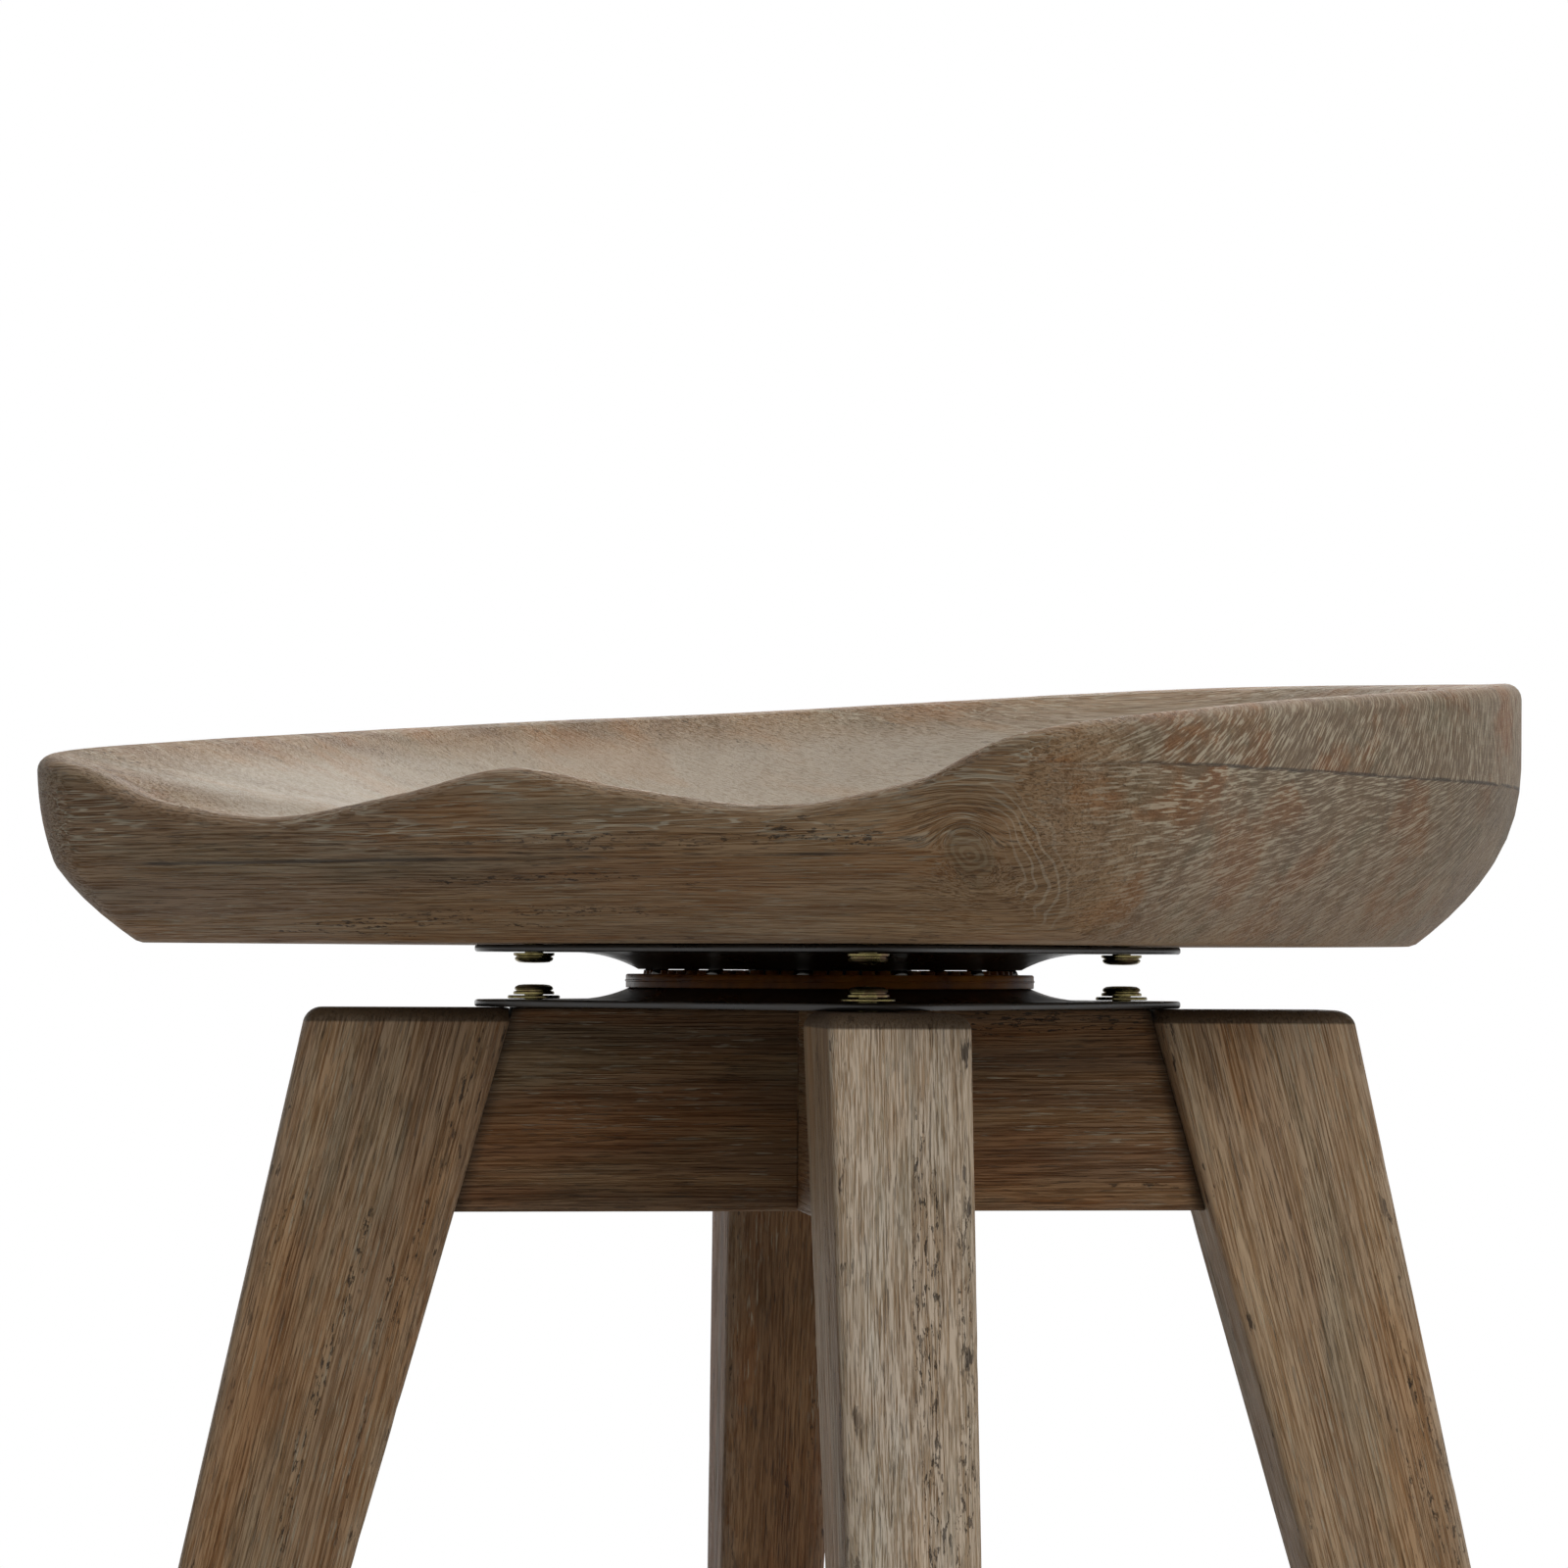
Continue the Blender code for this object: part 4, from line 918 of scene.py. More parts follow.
def make_leg(leg_name, turn, number):
    stain = LEG_STAINS_AND_PAINTED_LIGHT[leg_name]
    outer_face_painted_stain = stain - OUTER_FACE_PAINTED_LIGHT.get(leg_name, LITTLE_OUTER_FACE_PAINTED_LIGHT)
    rings, wear, cut, stains = [], [], [], []
    for height, inset, end_share in leg_stations():
        low, high, half = leg_faces(height)
        low += min(inset, INNER_ROUNDING)
        high -= inset
        middle = Vector(((low + high) / 2, 0, height))
        rings.append([])
        for spot, worn in rounded_ring(low, high, half - inset, EASED_EDGE):
            point = Vector((*spot, height))
            if worn:
                point += (middle - point).normalized() * dent(point, 17.0 * number)
            rings[-1].append(point)
            wear.append(max(worn, end_share))
            cut.append(end_share)
            # The outward face gets the paler stain, which is painted light.
            stains.append(outer_face_painted_stain if spot.x > high - WEAR_STRIP / 2 else stain)
    log_place = (1.7 * number, 0.055 + 0.020 * number, 0.030 - 0.025 * number)
    log_turn = Vector((0.25, 0, -1)).rotation_difference(Vector((1, 0, 0)))
    name = f"worn_leg_{leg_name}"
    return build_board(name, rings, turn, log_place, log_turn, edge=wear, cut_end=cut, stain=stains)


for number, (leg_name, turn) in enumerate(zip(LEG_NAMES, LEG_TURNS)):
    leg = make_leg(leg_name, turn, number)
    install(leg, "base", f"leg_{leg_name}")
print("legs made, each with", len(leg.data.polygons), "faces")

# %% [markdown]
# ## Cross rails
# Two rails 64 mm tall cross in a halved joint under the swivel, and their ends are cut to the slope
# of the legs. The joint cuts each rail in the middle, so it is two arms and a block. Where an arm
# meets a leg, its last ring is painted dark, as painted shade in the corner.

# %% The rails
RAIL_HALF = 0.0112
RAIL_HEIGHT = 0.0639
RAIL_EDGE = 1.2 * MM
FIT_GAP = 0.3 * MM
ARM_STATIONS = 24
# The rails' deep stain is partly painted shade, for the shade they stand in under the swivel.
RAIL_STAIN_AND_PAINTED_SHADE = 1.42
RAIL_MIDDLE = BASE_HEIGHT - RAIL_HEIGHT / 2


def make_rail_arm(name, turn, number):
    """One arm; its rings lie upright, so X of a ring is height, counted from the rail's middle."""
    start = RAIL_HALF + FIT_GAP
    rings, wear, corner = [], [], []
    for step in range(ARM_STATIONS + 1):
        rings.append([])
        for spot, worn in rounded_ring(-RAIL_HEIGHT / 2, RAIL_HEIGHT / 2, RAIL_HALF, RAIL_EDGE):
            height = RAIL_MIDDLE + spot.x
            end = LEG_TOP_INNER + LEG_INNER_RAKE * (BASE_HEIGHT - height) - FIT_GAP
            point = Vector((start + (end - start) * step / ARM_STATIONS, spot.y, height))
            if worn:
                point.y -= math.copysign(dent(point, number * 9.0) * 0.5, point.y)
            rings[-1].append(point)
            wear.append(0.5 * worn)
            # The arm's last ring, at the leg, takes the cut ends' dark colour as painted shade in the
            # corner.
            corner.append(float(step == ARM_STATIONS))
    log_turn = Matrix.Rotation(math.radians(37 * number), 3, "X")
    log_place = Vector((2.3 * number, 0.090 + 0.013 * number, -0.045))
    log_place -= log_turn @ Vector((0, 0, BASE_HEIGHT))
    stain = [RAIL_STAIN_AND_PAINTED_SHADE] * len(wear)
    return build_board(name, rings, turn, log_place, log_turn, edge=wear, cut_end=corner, stain=stain)


def make_rail_middle(name, turn, number, low, high):
    outline = rounded_ring(low, high, RAIL_HALF, RAIL_EDGE)
    reaches = (-RAIL_HALF - FIT_GAP, 0.0, RAIL_HALF + FIT_GAP)
    rings = [[Vector((reach, spot.y, spot.x)) for spot, _ in outline] for reach in reaches]
    stain = [RAIL_STAIN_AND_PAINTED_SHADE] * len(reaches) * len(outline)
    return build_board(name, rings, turn, (2.3 * number, 0.09, -0.6), stain=stain)


rails = (
    ("cross_rail_notched_above", BASE_HEIGHT - RAIL_HEIGHT, RAIL_MIDDLE - FIT_GAP / 2),
    ("cross_rail_notched_below", RAIL_MIDDLE + FIT_GAP / 2, BASE_HEIGHT),
)
for number, (rail_name, low, high) in enumerate(rails):
    for side in range(2):
        arm_turn = LEG_TURNS[number] + math.pi * side
        arm = make_rail_arm(f"arm_{number + 1}_{side + 1}", arm_turn, 2 * number + side)
        install(arm, "base", rail_name)
    middle = make_rail_middle(f"halved_joint_{number + 1}", LEG_TURNS[number], number, low, high)
    install(middle, "base", rail_name)
print("rails made, their tops at", round(BASE_HEIGHT, 4))

# %% [markdown]
# ## Footrest
# Four stretchers tie the legs together 200 mm above the floor and carry the feet. Their ends are
# cut at 45 degrees to meet the sides of the legs. Shoes polish their edges, so these wear as much
# as the legs do.

# %% The stretchers
STRETCHER_HEIGHT = 0.2000
STRETCHER_TALL = 0.0380
STRETCHER_THICK = 0.0200
STRETCHER_EDGE = 3.0 * MM
STRETCHER_STATIONS = 30
STRETCHER_STAIN = 1.0


def make_stretcher(name, turn, number):
    """It runs along X; each end is cut where the slanted side of a leg crosses it."""
    low, high, half = leg_faces(STRETCHER_HEIGHT)
    offset = ((low + high) / 2 + half) / math.sqrt(2)
    rings, wear = [], []
    for step in range(STRETCHER_STATIONS + 1):
        share = 2 * step / STRETCHER_STATIONS - 1
        rings.append([])
        tall = STRETCHER_TALL / 2
        for spot, worn in rounded_ring(-tall, tall, STRETCHER_THICK / 2, STRETCHER_EDGE):
            height = STRETCHER_HEIGHT + spot.x
            depth = offset + spot.y
            half_length = depth - math.sqrt(2) * (leg_faces(height)[2] + FIT_GAP)
            point = Vector((share * half_length, -depth, height))
            if worn:
                point.z -= math.copysign(dent(point, 40.0 + number) * 0.5, spot.x)
            rings[-1].append(point)
            wear.append(worn)
    log_place = (3.1 * number, 0.24 + 0.01 * number, -0.21)
    return build_board(name, rings, turn, log_place, edge=wear, stain=[STRETCHER_STAIN] * len(wear))


for number, side_name in enumerate(SIDE_NAMES):
    stretcher = make_stretcher(f"footrest_{side_name}", math.radians(90 * number), number)
    install(stretcher, "base", f"stretcher_{side_name}")
print("stretchers made, each with", len(stretcher.data.polygons), "faces")

# %% [markdown]
# ## Dowels
# The beech dowels sit inside the joints and never show, so the solids that hold the joints stay as
# they are and only get their finish.

# %% Beech for the hidden dowels
dowels = [node for name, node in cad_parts.items() if "dowel" in name]
for dowel in dowels:
    dowel.material_slots[0].material = beech
print(len(dowels), "dowels in", beech.name)

# %% [markdown]
# ## Turned and stamped pieces
# Washers, screws, the eyelet and the cage are round, so each is a profile of (radius, height) points
# swept round Z. It closes on itself, or starts and ends on the axis. Holes and recesses are cut
# afterwards, as a drill or a punch would.

# %% Sweep a profile round the axis, and cut
ON_AXIS = 0.01 * MM
DRILL_SIDES = 32


def polar(reach, angle, height=0.0):
    return Vector((reach * math.cos(angle), reach * math.sin(angle), height))


def turn_profile(name, profile, material, steps, closed=True):
    """Rings round Z; a closed profile joins its last ring to its first."""
    angles = [math.tau * step / steps for step in range(steps)]
    rings = [[polar(radius, angle, height) for angle in angles] for radius, height in profile]
    return skin(name, rings, material, endless=closed)


def cut_with(piece, cutters):
    """Cuts pieces out of another, keeps the result as a plain mesh and removes the cutters."""
    for cutter in cutters:
        modifier = piece.modifiers.new("Cut", "BOOLEAN")
        modifier.operation = "DIFFERENCE"
        modifier.solver = "EXACT"
        modifier.object = cutter
    bpy.context.view_layer.update()
    graph = bpy.context.evaluated_depsgraph_get()
    mesh = bpy.data.meshes.new_from_object(piece.evaluated_get(graph))
    piece.modifiers.clear()
    piece.data = mesh
    shade(mesh)
    for cutter in cutters:
        bpy.data.objects.remove(cutter)


def drill(piece, radius, low, high, spots):
    """Bores a hole from low to high at each spot."""
    cutters = []
    for spot in spots:
        profile = ((radius, low), (radius, high))
        cutters.append(turn_profile("drill", profile, piece.data.materials[0], DRILL_SIDES, closed=False))
        cutters[-1].location = spot
    cut_with(piece, cutters)


print("a quarter turn ends at", [round(v, 3) for v in polar(1.0, math.pi / 2)])

# %% [markdown]
# ## Swivel plates
# Each plate is a 174.5 mm square with round corners, pressed so that its middle rises as a flat
# round dish that carries the balls, with a side that flares out into the flange like a trumpet.
# The two plates are the same stamping, one turned over. The inner rings of the mesh are circles, and
# the outer ones follow the square.

# %% The plates
PLATE_HALF = 0.08725
PLATE_CORNER = 0.0250
PLATE_THICKNESS = 2.3 * MM
PLATE_EDGE = 0.7 * MM
PLATE_COLUMNS = 144
DISH_RISE = 5.3 * MM
DISH_FLARE = 2.4
DISH_INNER = 0.0610
DISH_OUTER = 0.0840
FLARE_RINGS = 16
RACE_CIRCLE = 0.0572
BALL_RADIUS = 3.2 * MM
EYELET_RADIUS = 26.0 * MM
SCREW_RADIUS = 3.0 * MM
SCREW_REACH = 0.133350 / 2 * math.sqrt(2)
SCREW_CLEARANCE = 0.6 * MM


def square_reach(angle):
    """Distance from the middle to the edge of the rounded square, in a direction."""
    folded = abs((angle + math.pi / 4) % (math.pi / 2) - math.pi / 4)
    flat = PLATE_HALF - PLATE_CORNER
    if math.tan(folded) <= flat / PLATE_HALF:
        return PLATE_HALF / math.cos(folded)
    across = flat * (math.cos(folded) + math.sin(folded))
    return across + math.sqrt(across * across - 2 * flat * flat + PLATE_CORNER**2)


def dish_height(radius):
    """Height of the pressed sheet's upper face above the plate's underside."""
    share = min(max((radius - DISH_INNER) / (DISH_OUTER - DISH_INNER), 0.0), 1.0)
    level = PLATE_THICKNESS + DISH_RISE * (1 - share) ** DISH_FLARE
    away = abs(radius - RACE_CIRCLE)
    race = BALL_RADIUS + FIT_GAP
    if away < race:
        level = min(level, (SWIVEL_TOP - SWIVEL_BOTTOM) / 2 - math.sqrt(race * race - away * away))
    return level


def make_plate(name):
    radii = [EYELET_RADIUS + FIT_GAP, 32 * MM, 42 * MM, 50 * MM]
    radii += [RACE_CIRCLE + offset * MM for offset in (-2.9, -2.6, -1.8, -0.9, 0, 0.9, 1.8, 2.6, 2.9)]
    radii += [DISH_INNER - 0.4 * MM]
    flare = [(step / FLARE_RINGS) ** 1.6 for step in range(FLARE_RINGS + 1)]
    radii += [DISH_INNER + (DISH_OUTER - DISH_INNER) * share for share in flare]
    top, edge = PLATE_THICKNESS, PLATE_EDGE
    border = ((-edge, top), (-edge / 3, top - edge / 3), (0, top - edge))
    border += ((0, edge), (-edge / 3, edge / 3), (-edge, 0))
    stack = [(radius, 0, dish_height(radius)) for radius in radii]
    stack += [(math.inf, inset, height) for inset, height in border]
    stack += [(radius, 0, dish_height(radius) - top) for radius in reversed(radii)]
    angles = [math.tau * step / PLATE_COLUMNS for step in range(PLATE_COLUMNS)]
    rings = []
    for radius, inset, height in stack:
        rings.append([])
        for angle in angles:
            square = square_reach(angle)
            reach = square + inset if radius == math.inf else min(radius, square - edge)
            rings[-1].append(polar(reach, angle, height))
    plate = skin(name, rings, black_steel, endless=True)
    screws = [polar(SCREW_REACH, turn) for turn in LEG_TURNS]
    drill(plate, SCREW_RADIUS + SCREW_CLEARANCE, -top, 2 * top, screws)
    return plate


lower = make_plate("stamped_plate_lower")
upper = make_plate("stamped_plate_upper")
install(lower, "base", "swivel_lower_plate", (0, 0, SWIVEL_BOTTOM))
install(upper, "turning_seat", "swivel_upper_plate", (0, 0, SWIVEL_TOP), (math.pi, 0, 0))
print("plates made, faces", len(lower.data.polygons))

# %% [markdown]
# ## Ball cage, balls and eyelet
# The cage is a flat moulded ring that keeps twelve balls apart. Its outer edge hangs down over the
# slope of the lower dish and keeps dirt out, and a light bead runs round it where the mould parts.
# Low studs between the balls hold grease, so only specks of light come through the gap above the
# ring. A wide rolled steel eyelet holds the whole swivel together.

# %% The cage and its balls
CAGE_INNER = 0.0510
CAGE_OUTER = 0.0652
CAGE_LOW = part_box("ball_cage")[0].z
CAGE_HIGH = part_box("ball_cage")[1].z
CAGE_SKIRT = 1.7 * MM
BEAD_HEIGHT = 2.2 * MM
BALL_COUNT = 12
BALL_HEIGHT = (SWIVEL_BOTTOM + SWIVEL_TOP) / 2
BALL_TURNS = [math.tau * number / BALL_COUNT for number in range(BALL_COUNT)]
POCKET_CLEARANCE = 0.5 * MM
STUDS_PER_BALL = 5
STUD_RADIUS = 2.25 * MM
STUD_CHAMFER = 0.25 * MM


def make_cage():
    low = CAGE_LOW + CAGE_SKIRT
    edge = CAGE_OUTER - 0.25 * MM
    bead = CAGE_LOW + BEAD_HEIGHT
    profile = (
        (CAGE_INNER, low + 0.4 * MM),
        (CAGE_INNER + 0.4 * MM, low),
        (DISH_INNER, low),
        (CAGE_OUTER - 0.8 * MM, CAGE_LOW),
        (edge - 0.15 * MM, CAGE_LOW),
        (edge, CAGE_LOW + 0.2 * MM),
        (edge, bead - 0.35 * MM),
        (CAGE_OUTER, bead - 0.15 * MM),
        (CAGE_OUTER, bead + 0.15 * MM),
        (edge, bead + 0.35 * MM),
        (edge, CAGE_HIGH - 0.6 * MM),
        (edge - 0.2 * MM, CAGE_HIGH - 0.2 * MM),
        (edge - 0.6 * MM, CAGE_HIGH),
        (CAGE_INNER + 0.4 * MM, CAGE_HIGH),
        (CAGE_INNER, CAGE_HIGH - 0.4 * MM),
    )
    cage = turn_profile("moulded_ball_cage", profile, amber, 144)
    pockets = [polar(RACE_CIRCLE, turn) for turn in BALL_TURNS]
    drill(cage, BALL_RADIUS + POCKET_CLEARANCE, CAGE_LOW - 2 * MM, CAGE_HIGH + 2 * MM, pockets)
    return cage


def make_grease_studs():
    """Low studs on top of the cage; they reach 0.2 mm into it."""
    bm = bmesh.new()
    low = CAGE_HIGH - 0.2 * MM
    high = SWIVEL_TOP - DISH_RISE - PLATE_THICKNESS - 0.25 * MM
    for turn in BALL_TURNS:
        for number in range(1, STUDS_PER_BALL + 1):
            angle = turn + math.tau * number / BALL_COUNT / (STUDS_PER_BALL + 1)
            bmesh.ops.create_cone(
                bm,
                cap_ends=True,
                segments=20,
                radius1=STUD_RADIUS,
                radius2=STUD_RADIUS - STUD_CHAMFER,
                depth=high - low,
                matrix=Matrix.Translation(polar(RACE_CIRCLE, angle, (low + high) / 2)),
            )
    return from_bmesh("cage_grease_studs", bm, amber)


cage = make_cage()
install(cage, "ball_cage_ring", "ball_cage")
install(make_grease_studs(), "ball_cage_ring", "ball_cage")
for number, turn in enumerate(BALL_TURNS):
    node = f"ball_{number + 1:02d}"
    bm = bmesh.new()
    bmesh.ops.create_icosphere(bm, subdivisions=3, radius=BALL_RADIUS)
    ball = from_bmesh(f"ground_{node}", bm, ball_steel)
    ball.data.shade_smooth()
    install(ball, "ball_cage_ring", node, polar(RACE_CIRCLE, turn, BALL_HEIGHT))
print("cage faces", len(cage.data.polygons), "and", BALL_COUNT, "balls")

# %% [markdown]
# The eyelet is a tube whose two ends are rolled outwards over the dishes. Its lower half is the
# mirror image of the upper one.

# %% The rolled eyelet
EYELET_WALL = 1.4 * MM
EYELET_FLANGE = 4.5 * MM
EYELET_CURL = 0.5 * MM


def make_eyelet():
    high = SWIVEL_TOP - DISH_RISE + FIT_GAP
    top = high + EYELET_WALL
    bore = EYELET_RADIUS - EYELET_WALL
    flange = EYELET_RADIUS + EYELET_FLANGE
    curl = EYELET_CURL
    half = [
        (bore, top - 2 * curl),
        (bore + 0.3 * curl, top - 0.6 * curl),
        (bore + curl, top),
        (flange - curl, top),
        (flange, top - curl),
        (flange, high + curl),
        (flange - curl, high),
        (EYELET_RADIUS, high),
    ]
    mirrored = [(radius, 2 * BALL_HEIGHT - height) for radius, height in reversed(half)]
    return turn_profile("rolled_eyelet", half + mirrored, black_steel, 96)


eyelet = make_eyelet()
install(eyelet, "base", "centre_eyelet")
print("eyelet faces", len(eyelet.data.polygons))

# %% [markdown]
# ## Screws and washers
# The plates are held by eight pan-head screws. Their heads are 13 mm across, with a flange below a
# fine groove, so that the light draws two bright bands on them, and a cross recess on top. The four
# lower ones stand on washers. Their shanks are buried in the wood and stay plain.

# %% The screws
HEAD_RADIUS = 6.5 * MM
HEAD_HEIGHT = 3.2 * MM
WASHER_RADIUS = 8.3 * MM
WASHER_THICKNESS = 1.0 * MM
WASHER_BORE = SCREW_RADIUS + FIT_GAP
RECESS_SIZE = (6.6 * MM, 1.3 * MM, 3.0 * MM, 1)
RECESS_TAPER = 0.55
WASHER_PROFILE = (
    (WASHER_BORE, 0.25 * MM),
    (WASHER_BORE + 0.2 * MM, 0.0),
    (WASHER_RADIUS - 0.25 * MM, 0.0),
    (WASHER_RADIUS, 0.25 * MM),
    (WASHER_RADIUS, WASHER_THICKNESS - 0.35 * MM),
    (WASHER_RADIUS - 0.35 * MM, WASHER_THICKNESS),
    (WASHER_BORE + 0.2 * MM, WASHER_THICKNESS),
    (WASHER_BORE, WASHER_THICKNESS - 0.25 * MM),
)


def head_profile(shank):
    """From the crown of the head down to the point; the underside of the head is at height 0."""
    return [
        (ON_AXIS, HEAD_HEIGHT),
        (3.2 * MM, HEAD_HEIGHT - 0.06 * MM),
        (4.9 * MM, HEAD_HEIGHT - 0.25 * MM),
        (5.8 * MM, HEAD_HEIGHT - 0.75 * MM),
        (6.1 * MM, 1.90 * MM),
        (6.0 * MM, 1.50 * MM),
        (5.6 * MM, 1.35 * MM),
        (5.6 * MM, 1.10 * MM),
        (6.2 * MM, 0.95 * MM),
        (HEAD_RADIUS, 0.70 * MM),
        (HEAD_RADIUS, 0.12 * MM),
        (HEAD_RADIUS - 0.15 * MM, 0.0),
        (SCREW_RADIUS, 0.0),
        (SCREW_RADIUS, 3.0 * MM - shank),
        (SCREW_RADIUS * 0.85, 2.5 * MM - shank),
        (ON_AXIS, -shank),
    ]


def make_screw(name, shank):
    screw = turn_profile(name, head_profile(shank), zinc, 40, closed=False)
    slots = []
    for turn in (0, math.pi / 2):
        bm = bmesh.new()
        size = Matrix.Diagonal(RECESS_SIZE)
        bmesh.ops.create_cube(bm, size=1, matrix=Matrix.Translation((0, 0, HEAD_HEIGHT)) @ size)
        for vertex in bm.verts:
            if vertex.co.z < HEAD_HEIGHT:
                vertex.co.x *= RECESS_TAPER
                vertex.co.y *= RECESS_TAPER
        slots.append(from_bmesh("recess", bm))
        slots[-1].rotation_euler = (0, 0, turn)
    cut_with(screw, slots)
    return screw


for number, (leg_name, turn) in enumerate(zip(LEG_NAMES, LEG_TURNS)):
    heads = (
        ("base", "base", (0, 0, 0.4 + 1.1 * number)),
        ("seat", "turning_seat", (math.pi, 0, 0.9 * number)),
    )
    for kind, body, turned in heads:
        node = f"{kind}_screw_{leg_name}"
        low, high = (corner.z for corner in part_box(node))
        collar = high - HEAD_HEIGHT if kind == "base" else low + HEAD_HEIGHT
        screw = make_screw(f"pan_screw_{kind}_{leg_name}", high - low - HEAD_HEIGHT)
        install(screw, body, node, polar(SCREW_REACH, turn, collar), turned)
    node = f"washer_{leg_name}"
    washer = turn_profile(f"stamped_{node}", WASHER_PROFILE, zinc, 48)
    install(washer, "base", node, polar(SCREW_REACH, turn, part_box(node)[0].z))
print("screws and washers made, each screw with", len(screw.data.polygons), "faces")

# %% [markdown]
# ## Glides
# Under each foot a black nylon glide is nailed on. It has a domed edge, so that it slides over a
# rug, and a pin that goes up into the leg.

# %% The glides
GLIDE_RADIUS = 10 * MM
GLIDE_DOME = 1.4 * MM
GLIDE_EDGE = 0.6 * MM
PIN_RADIUS = 2 * MM


def make_glide(name):
    tall = LEG_BOTTOM - FIT_GAP
    profile = [(ON_AXIS, 0.0), (GLIDE_RADIUS - GLIDE_DOME, 0.0)]
    for degrees in (22.5, 45, 67.5, 90):
        angle = math.radians(degrees)
        inset = GLIDE_DOME * (1 - math.sin(angle))
        profile.append((GLIDE_RADIUS - inset, GLIDE_DOME * (1 - math.cos(angle))))
    profile += [
        (GLIDE_RADIUS, tall - GLIDE_EDGE),
        (GLIDE_RADIUS - GLIDE_EDGE, tall),
        (PIN_RADIUS, tall),
        (PIN_RADIUS, tall + 12 * MM),
        (ON_AXIS, tall + 15 * MM),
    ]
    return turn_profile(name, profile, nylon, 48, closed=False)


GLIDE_REACH = sum(leg_faces(LEG_BOTTOM)[:2]) / 2
for leg_name, turn in zip(LEG_NAMES, LEG_TURNS):
    glide = make_glide(f"nailed_glide_{leg_name}")
    install(glide, "base", f"glide_{leg_name}", polar(GLIDE_REACH, turn))
print("glides made, each with", len(glide.data.polygons), "faces")

# %% [markdown]
# ## The studio
# The photograph was taken against white paper. The floor takes the stool's shadow near its feet and
# turns into the white of the paper further out. The world is white to the camera and in
# reflections, and nearly dark otherwise, so that the lamps light the stool.


# %% Floor and world
def seen(tree, *kinds):
    """1 for the rays that look, such as the camera's and those in reflections, and 0 for light."""
    rays = add(tree, "ShaderNodeLightPath").outputs
    share = rays["Is Camera Ray"]
    for kind in kinds:
        share = calculate(tree, "MAXIMUM", share, rays[kind])
    return share


def paper_floor():
    bm = bmesh.new()
    bmesh.ops.create_circle(bm, cap_ends=True, segments=96, radius=9.0)
    constants = {"Base Color": colour("ececea"), "Roughness": 0.9}
    material, tree, shader = new_material("White seamless paper", constants)
    place = add(tree, "ShaderNodeTexCoord").outputs["Object"]
    far = between(tree, length(tree, place), 0.5, 1.6, curve="SMOOTHERSTEP")
    glow = add(tree, "ShaderNodeEmission", {"Color": (1, 1, 1, 1), "Strength": 1.0})
    share = times(tree, seen(tree, "Is Glossy Ray"), far)
    mix = add(tree, "ShaderNodeMixShader", {0: share, 1: shader.outputs[0], 2: glow.outputs[0]})
    tree.links.new(mix.outputs[0], tree.nodes["Material Output"].inputs["Surface"])
    from_bmesh("paper_floor", bm, material)


def white_world(light):
    world = bpy.data.worlds.new("White studio")
    bpy.context.scene.world = world
    world.use_nodes = True
    tree = world.node_tree
    looking = seen(tree, "Is Glossy Ray", "Is Transmission Ray")
    strength = between(tree, looking, 0.0, 1.0, least=light, most=1.0, curve="LINEAR")
    background = tree.nodes["Background"]
    background.inputs["Color"].default_value = (1, 1, 1, 1)
    tree.links.new(strength, background.inputs["Strength"])


paper_floor()
white_world(light=0.03)
print("studio ready:", bpy.context.scene.world.name)

# %% [markdown]
# ## Light
# The main soft box stands high on the right of the camera, so the right side of the seat and the
# fronts of the legs are brighter than the seat's front. A larger one hangs over the back of the
# stool and fills the dish, and a weak one behind it on the left keeps the far sides from going
# black in the other views. The paper sends enough of it back to light the undersides.

# %% Lamps
AIM = Vector((0, 0, 0.5))


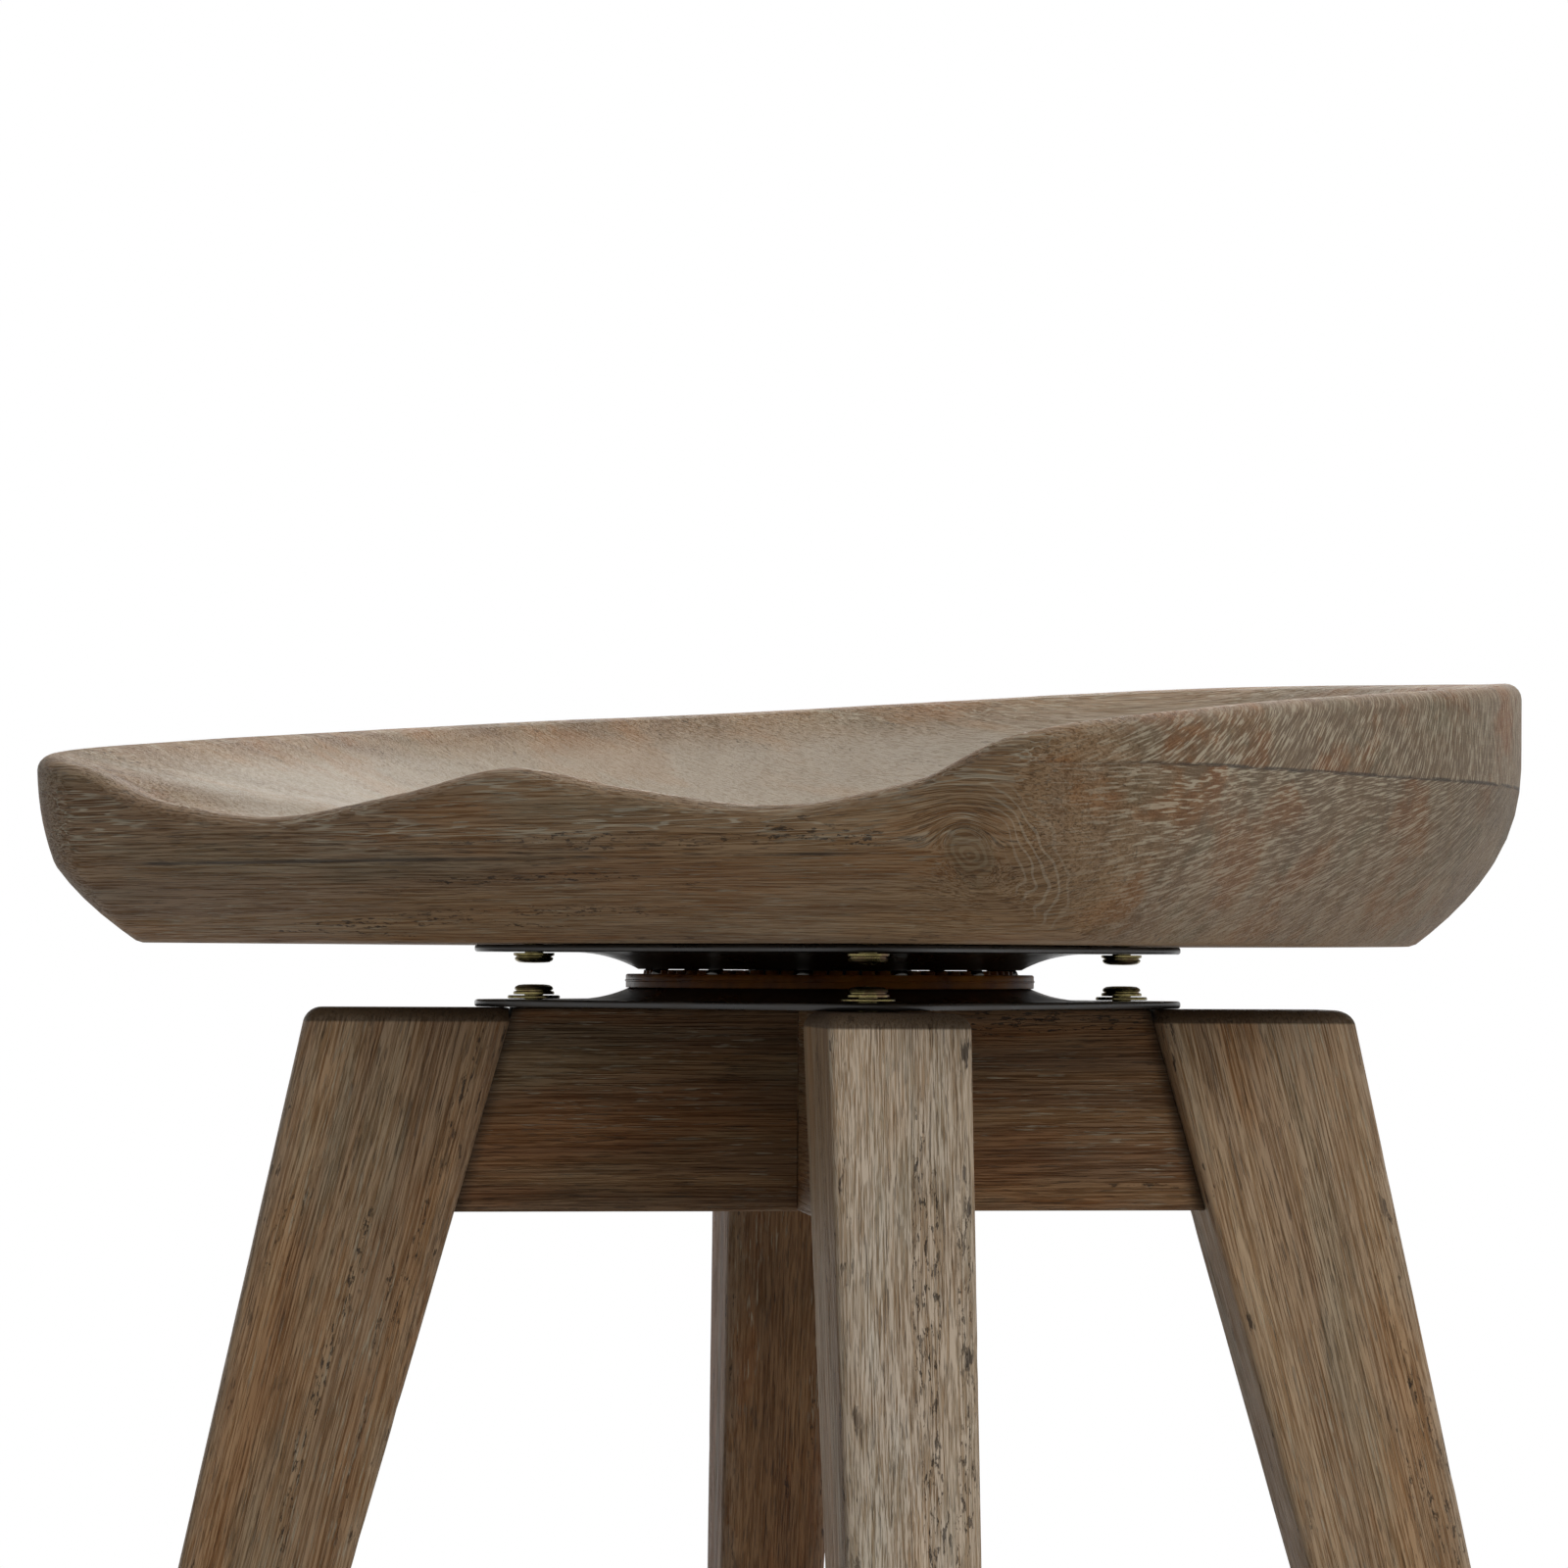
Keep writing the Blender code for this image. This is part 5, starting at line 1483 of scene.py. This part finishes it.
def soft_box(name, place, size, watts):
    lamp = bpy.data.lights.new(name, "AREA")
    lamp.shape = "RECTANGLE"
    lamp.size = size
    lamp.size_y = size
    lamp.energy = watts
    holder = bpy.data.objects.new(name, lamp)
    holder.location = place
    holder.rotation_mode = "QUATERNION"
    holder.rotation_quaternion = (AIM - Vector(place)).to_track_quat("-Z", "Y")
    bpy.context.scene.collection.objects.link(holder)


soft_box("main_soft_box", place=(2.3, -0.9, 1.7), size=1.3, watts=34)
soft_box("overhead_soft_box", place=(0.0, 0.8, 2.4), size=1.6, watts=26)
soft_box("far_soft_box", place=(-1.4, 2.2, 1.6), size=1.3, watts=14)
print("lamps hung:", len(bpy.data.lights))

# %% [markdown]
# ## Camera
# The photograph looks level at the swivel from 1.5 m, through a lens of about 108 mm on a 36 mm
# sensor, from between the front and the right side. The camera stands 14 mm above the tops of the
# legs, aims slightly up and to the left, and is turned by a quarter of a degree.

# %% The photographer's place
CAMERA_DISTANCE = 1.500
CAMERA_ABOVE_LEGS = 14.1 * MM
CAMERA_AZIMUTH = math.radians(38.05)
CAMERA_PAN = math.radians(0.566)
CAMERA_TILT = math.radians(2.191)
CAMERA_ROLL = math.radians(0.229)
LENS_MM = 107.98


def place_camera():
    camera = bpy.data.cameras.new("Camera")
    camera.lens = LENS_MM
    camera.sensor_width = 36
    camera.clip_start = 0.05
    camera.clip_end = 50
    holder = bpy.data.objects.new("Camera", camera)
    bpy.context.scene.collection.objects.link(holder)
    place = polar(CAMERA_DISTANCE, CAMERA_AZIMUTH - math.pi / 2, BASE_HEIGHT + CAMERA_ABOVE_LEGS)
    aim = Matrix.Rotation(CAMERA_AZIMUTH + CAMERA_PAN, 4, "Z")
    tilt = Matrix.Rotation(math.pi / 2 + CAMERA_TILT, 4, "X")
    roll = Matrix.Rotation(CAMERA_ROLL, 4, "Z")
    holder.matrix_world = Matrix.Translation(place) @ aim @ tilt @ roll
    bpy.context.scene.camera = holder
    return place


print("camera at", [round(v, 3) for v in place_camera()])
bpy.context.scene.view_settings.view_transform = "Standard"
